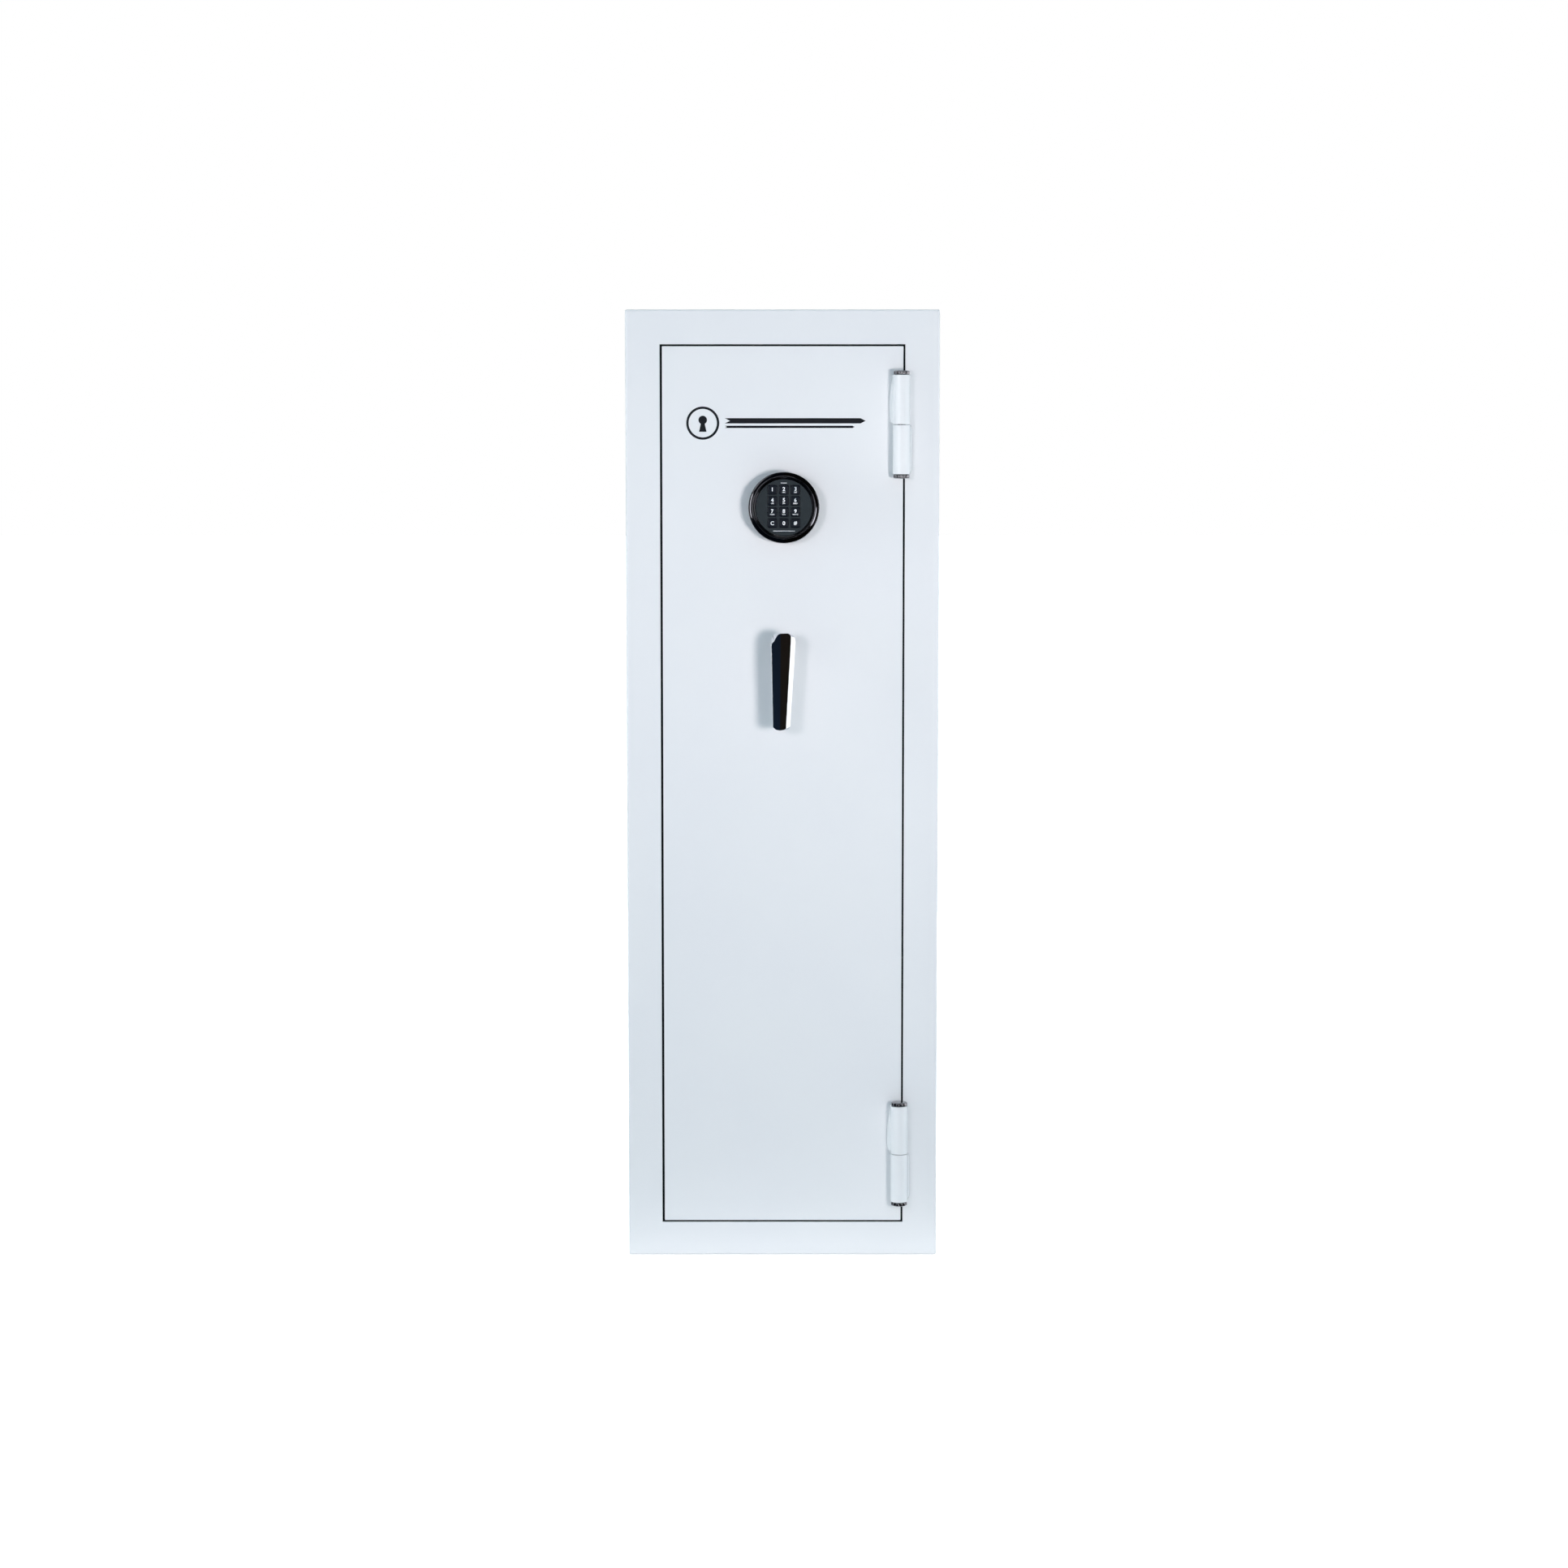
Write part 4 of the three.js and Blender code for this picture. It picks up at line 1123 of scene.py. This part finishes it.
# ---------- decal ----------
DECAL_LEFT = 118 * MM  # from the spindle to the middle of the ring
DECAL_RIGHT = 119 * MM
DECAL_Z = 1.233
FILM = 0.12 * MM
RING_OUTER = 24 * MM
RING_INNER = 20.6 * MM
KEYHOLE_BOW = 6.2 * MM
KEYHOLE_RISE = 4.5 * MM
KEYHOLE_FOOT = 5.4 * MM
KEYHOLE_DROP = 12.5 * MM
KEYHOLE_START = math.radians(-62)
STRIPES = [
    # name, height above the decal's middle, width, how much shorter it is
    ("decal_stripe_upper", 3.4 * MM, 7.6 * MM, 0),
    ("decal_stripe_lower", -5.4 * MM, 3.2 * MM, 16 * MM),
]


def decal_shape(name, outline, holes=()):
    bm = panel(outline, holes, FRONT - FILM, FILM - 0.01 * MM)
    finish_piece(bm, name, DECAL_INK, "door", weighted=False)


def build_decal():
    """A generic printed ornament: a keyhole in a ring, and two tapered pinstripes."""
    x = SPINDLE.x - DECAL_LEFT
    z = DECAL_Z
    decal_shape("decal_ring", circle(RING_OUTER, 96, (x, z)), [circle(RING_INNER, 96, (x, z))])
    keyhole = []
    for k in range(33):
        angle = KEYHOLE_START + (math.pi - 2 * KEYHOLE_START) * k / 32
        keyhole.append((x + KEYHOLE_BOW * math.cos(angle),
                        z + KEYHOLE_RISE + KEYHOLE_BOW * math.sin(angle)))
    keyhole += [(x - KEYHOLE_FOOT, z - KEYHOLE_DROP), (x + KEYHOLE_FOOT, z - KEYHOLE_DROP)]
    decal_shape("decal_keyhole", keyhole)
    left = x + RING_OUTER + 8 * MM
    for name, rise, wide, short in STRIPES:
        under, centre, over = (z + rise + wide * share for share in (-0.5, 0, 0.5))
        end = SPINDLE.x + DECAL_RIGHT - short
        corners = [(left, under), (end - wide, under), (end, centre), (end - wide, over),
                   (left, over), (left + wide, centre)]
        decal_shape(name, corners)


# ---------- studio ----------
AMBIENT = (0.116, 0.228, 0.284, 1)
NAVY = (0.007, 0.013, 0.025, 1)
BROWN = (0.013, 0.010, 0.008, 1)
SPLIT = 0.012  # half the width of the band in which navy turns to brown
WHITE = (1, 1, 1, 1)
DAYLIGHT = (0.95, 0.98, 1.0)
LIGHT_SPREAD = math.radians(78)


def glow(name, strength):
    data = bpy.data.materials.new(name)
    data.use_nodes = True
    tree = data.node_tree
    tree.nodes.remove(tree.nodes["Principled BSDF"])
    light = tree.nodes.new("ShaderNodeEmission")
    light.inputs["Color"].default_value = WHITE
    light.inputs["Strength"].default_value = strength
    tree.links.new(light.outputs["Emission"], tree.nodes["Material Output"].inputs["Surface"])
    return data


def card(name, centre, width, height, facing, strength):
    """A flat white card that only reflections see."""
    facing = Vector(facing).normalized()
    across = facing.cross(Vector((0, 0, 1))).normalized()
    rise = across.cross(facing)
    centre = Vector(centre)
    flat = rectangle(-width / 2, width / 2, -height / 2, height / 2)
    corners = [centre + across * x + rise * z for x, z in flat]
    mesh = bpy.data.meshes.new(name)
    mesh.from_pydata(corners, [], [(0, 1, 2, 3)])
    mesh.materials.append(glow(name, strength))
    plane = bpy.data.objects.new(name, mesh)
    plane.visible_camera = False
    plane.visible_diffuse = False
    plane.visible_shadow = False
    plane.visible_transmission = False
    SCENE.collection.objects.link(plane)


def soft_light(name, place, aim, size, power, colour=(1, 1, 1), spread=math.pi):
    data = bpy.data.lights.new(name, "AREA")
    data.shape = "RECTANGLE"
    data.size, data.size_y = size
    data.energy = power
    data.color = colour
    data.spread = spread
    light = bpy.data.objects.new(name, data)
    light.location = place
    light.rotation_euler = (Vector(aim) - Vector(place)).to_track_quat("-Z", "Y").to_euler()
    light.visible_camera = False
    light.visible_glossy = False
    SCENE.collection.objects.link(light)


def mirror_shade(tree):
    """What mirrors see: navy to the left of straight ahead, brown to the right."""
    across = tree.nodes.new("ShaderNodeSeparateXYZ")
    tree.links.new(tree.nodes.new("ShaderNodeTexCoord").outputs["Generated"], across.inputs[0])
    span = tree.nodes.new("ShaderNodeMapRange")
    span.inputs["From Min"].default_value = -SPLIT
    span.inputs["From Max"].default_value = SPLIT
    tree.links.new(across.outputs["X"], span.inputs["Value"])
    shade = tree.nodes.new("ShaderNodeValToRGB")
    shade.color_ramp.elements[0].color = NAVY
    shade.color_ramp.elements[1].color = BROWN
    tree.links.new(span.outputs["Result"], shade.inputs["Fac"])
    return shade.outputs["Color"]


def build_world():
    """White to the camera, a soft blue-white ambient to the object and dark to mirrors."""
    world = bpy.data.worlds.new("studio")
    SCENE.world = world
    world.use_nodes = True
    tree = world.node_tree
    ambient = tree.nodes["Background"]
    ambient.inputs["Color"].default_value = AMBIENT
    white = tree.nodes.new("ShaderNodeBackground")
    white.inputs["Color"].default_value = WHITE
    dark = tree.nodes.new("ShaderNodeBackground")
    tree.links.new(mirror_shade(tree), dark.inputs["Color"])
    rays = tree.nodes.new("ShaderNodeLightPath")
    shown = ambient
    for ray, other in (("Is Glossy Ray", dark), ("Is Camera Ray", white)):
        mix = tree.nodes.new("ShaderNodeMixShader")
        tree.links.new(rays.outputs[ray], mix.inputs["Fac"])
        tree.links.new(shown.outputs[0], mix.inputs[1])
        tree.links.new(other.outputs[0], mix.inputs[2])
        shown = mix
    tree.links.new(shown.outputs[0], tree.nodes["World Output"].inputs["Surface"])


def build_floor():
    """White paper that shows full white to the camera and only scatters light on the object."""
    reach = 30.0
    corners = [(x, y, 0) for x, y in rectangle(-reach, reach, -reach, reach)]
    mesh = bpy.data.meshes.new("studio_floor")
    mesh.from_pydata(corners, [], [(0, 1, 2, 3)])
    floor = Material("floor_paper", Roughness=0.9, Specular_IOR_Level=0.0)
    floor.colour(floor.blend(floor.noise(3, 2), (0.86, 0.86, 0.86, 1), (0.88, 0.88, 0.88, 1)))
    floor.shader.inputs["Emission Color"].default_value = WHITE
    seen = floor.tree.nodes.new("ShaderNodeLightPath").outputs["Is Camera Ray"]
    floor.feed(floor.shader.inputs["Emission Strength"], floor.between(seen, 0.0, 1.1))
    mesh.materials.append(floor.data)
    plane = bpy.data.objects.new("studio_floor", mesh)
    plane.visible_glossy = False
    SCENE.collection.objects.link(plane)


def build_studio():
    build_world()
    build_floor()
    soft_light("key_right", (1.46, FRONT - 3.2, 0.84), (0.06, FRONT, 1.12), (0.7, 0.7), 12.25,
               (1.0, 0.907, 0.898), LIGHT_SPREAD)
    soft_light("fill_left", (-1.30, FRONT - 3.2, 1.40), (0, FRONT, 1.12), (0.55, 0.55), 4.2,
               (1.0, 0.888, 0.912), LIGHT_SPREAD)
    soft_light("graze_left", (-2.4, FRONT - 0.45, 1.0), (0, FRONT, 0.8), (0.5, 2.0), 20)
    ahead = FRONT - 0.051
    soft_light("floor_bounce", (0, ahead, 0.0005), (0, ahead, 1), (0.6, 0.10), 0.10)
    for name, x, power in (("side_left", -2.6, 10), ("side_right", 2.6, 30)):
        soft_light(name, (x, 0.9, 1.3), (0, 0.05, 0.7), (1.6, 2.0), power, DAYLIGHT)
    soft_light("back_wash", (0, 3.4, 1.3), (0, BACK, 0.7), (2.4, 2.0), 32, DAYLIGHT)
    soft_light("top_wash", (0, 0.2, 3.4), (0, 0.1, HEIGHT), (2.4, 2.4), 18, (0.97, 0.99, 1.0))
    card("card_right", (2.4, -0.9, 0.9), 2.2, 2.6, (-1, 0.1, 0), 1.7)
    card("card_left", (-2.2, FRONT - 3.0, 1.15), 0.5, 1.6, (2.3, 3.0, 0), 8.0)
    card("card_key", (1.5, FRONT - 3.3, 0.55), 0.4, 0.9, (-1.5, 3.0, 0), 8.0)
    card("card_side", (-2.4, FRONT - 0.9, 0.95), 1.0, 2.0, (1, 0.35, 0), 0.9)
    card("card_corner", (-1.5, FRONT - 1.3, 2.5), 1.4, 1.4, (1.5, 1.3, -1.5), 1.8)
    card("card_high", (0, -0.2, 3.2), 1.6, 1.2, (0, 0.1, -1), 1.5)
    SCENE.view_settings.view_transform = "Standard"
    SCENE.view_settings.look = "None"


# ---------- assembly ----------
build_cabinet_shell()
build_seal()
build_anchor_plugs()
build_lining()
carpet = build_carpet()
build_hinges()
build_door()
build_trim_screws()
build_keypad()
build_lever()
build_spindle()
build_boltwork()
build_decal()
build_studio()
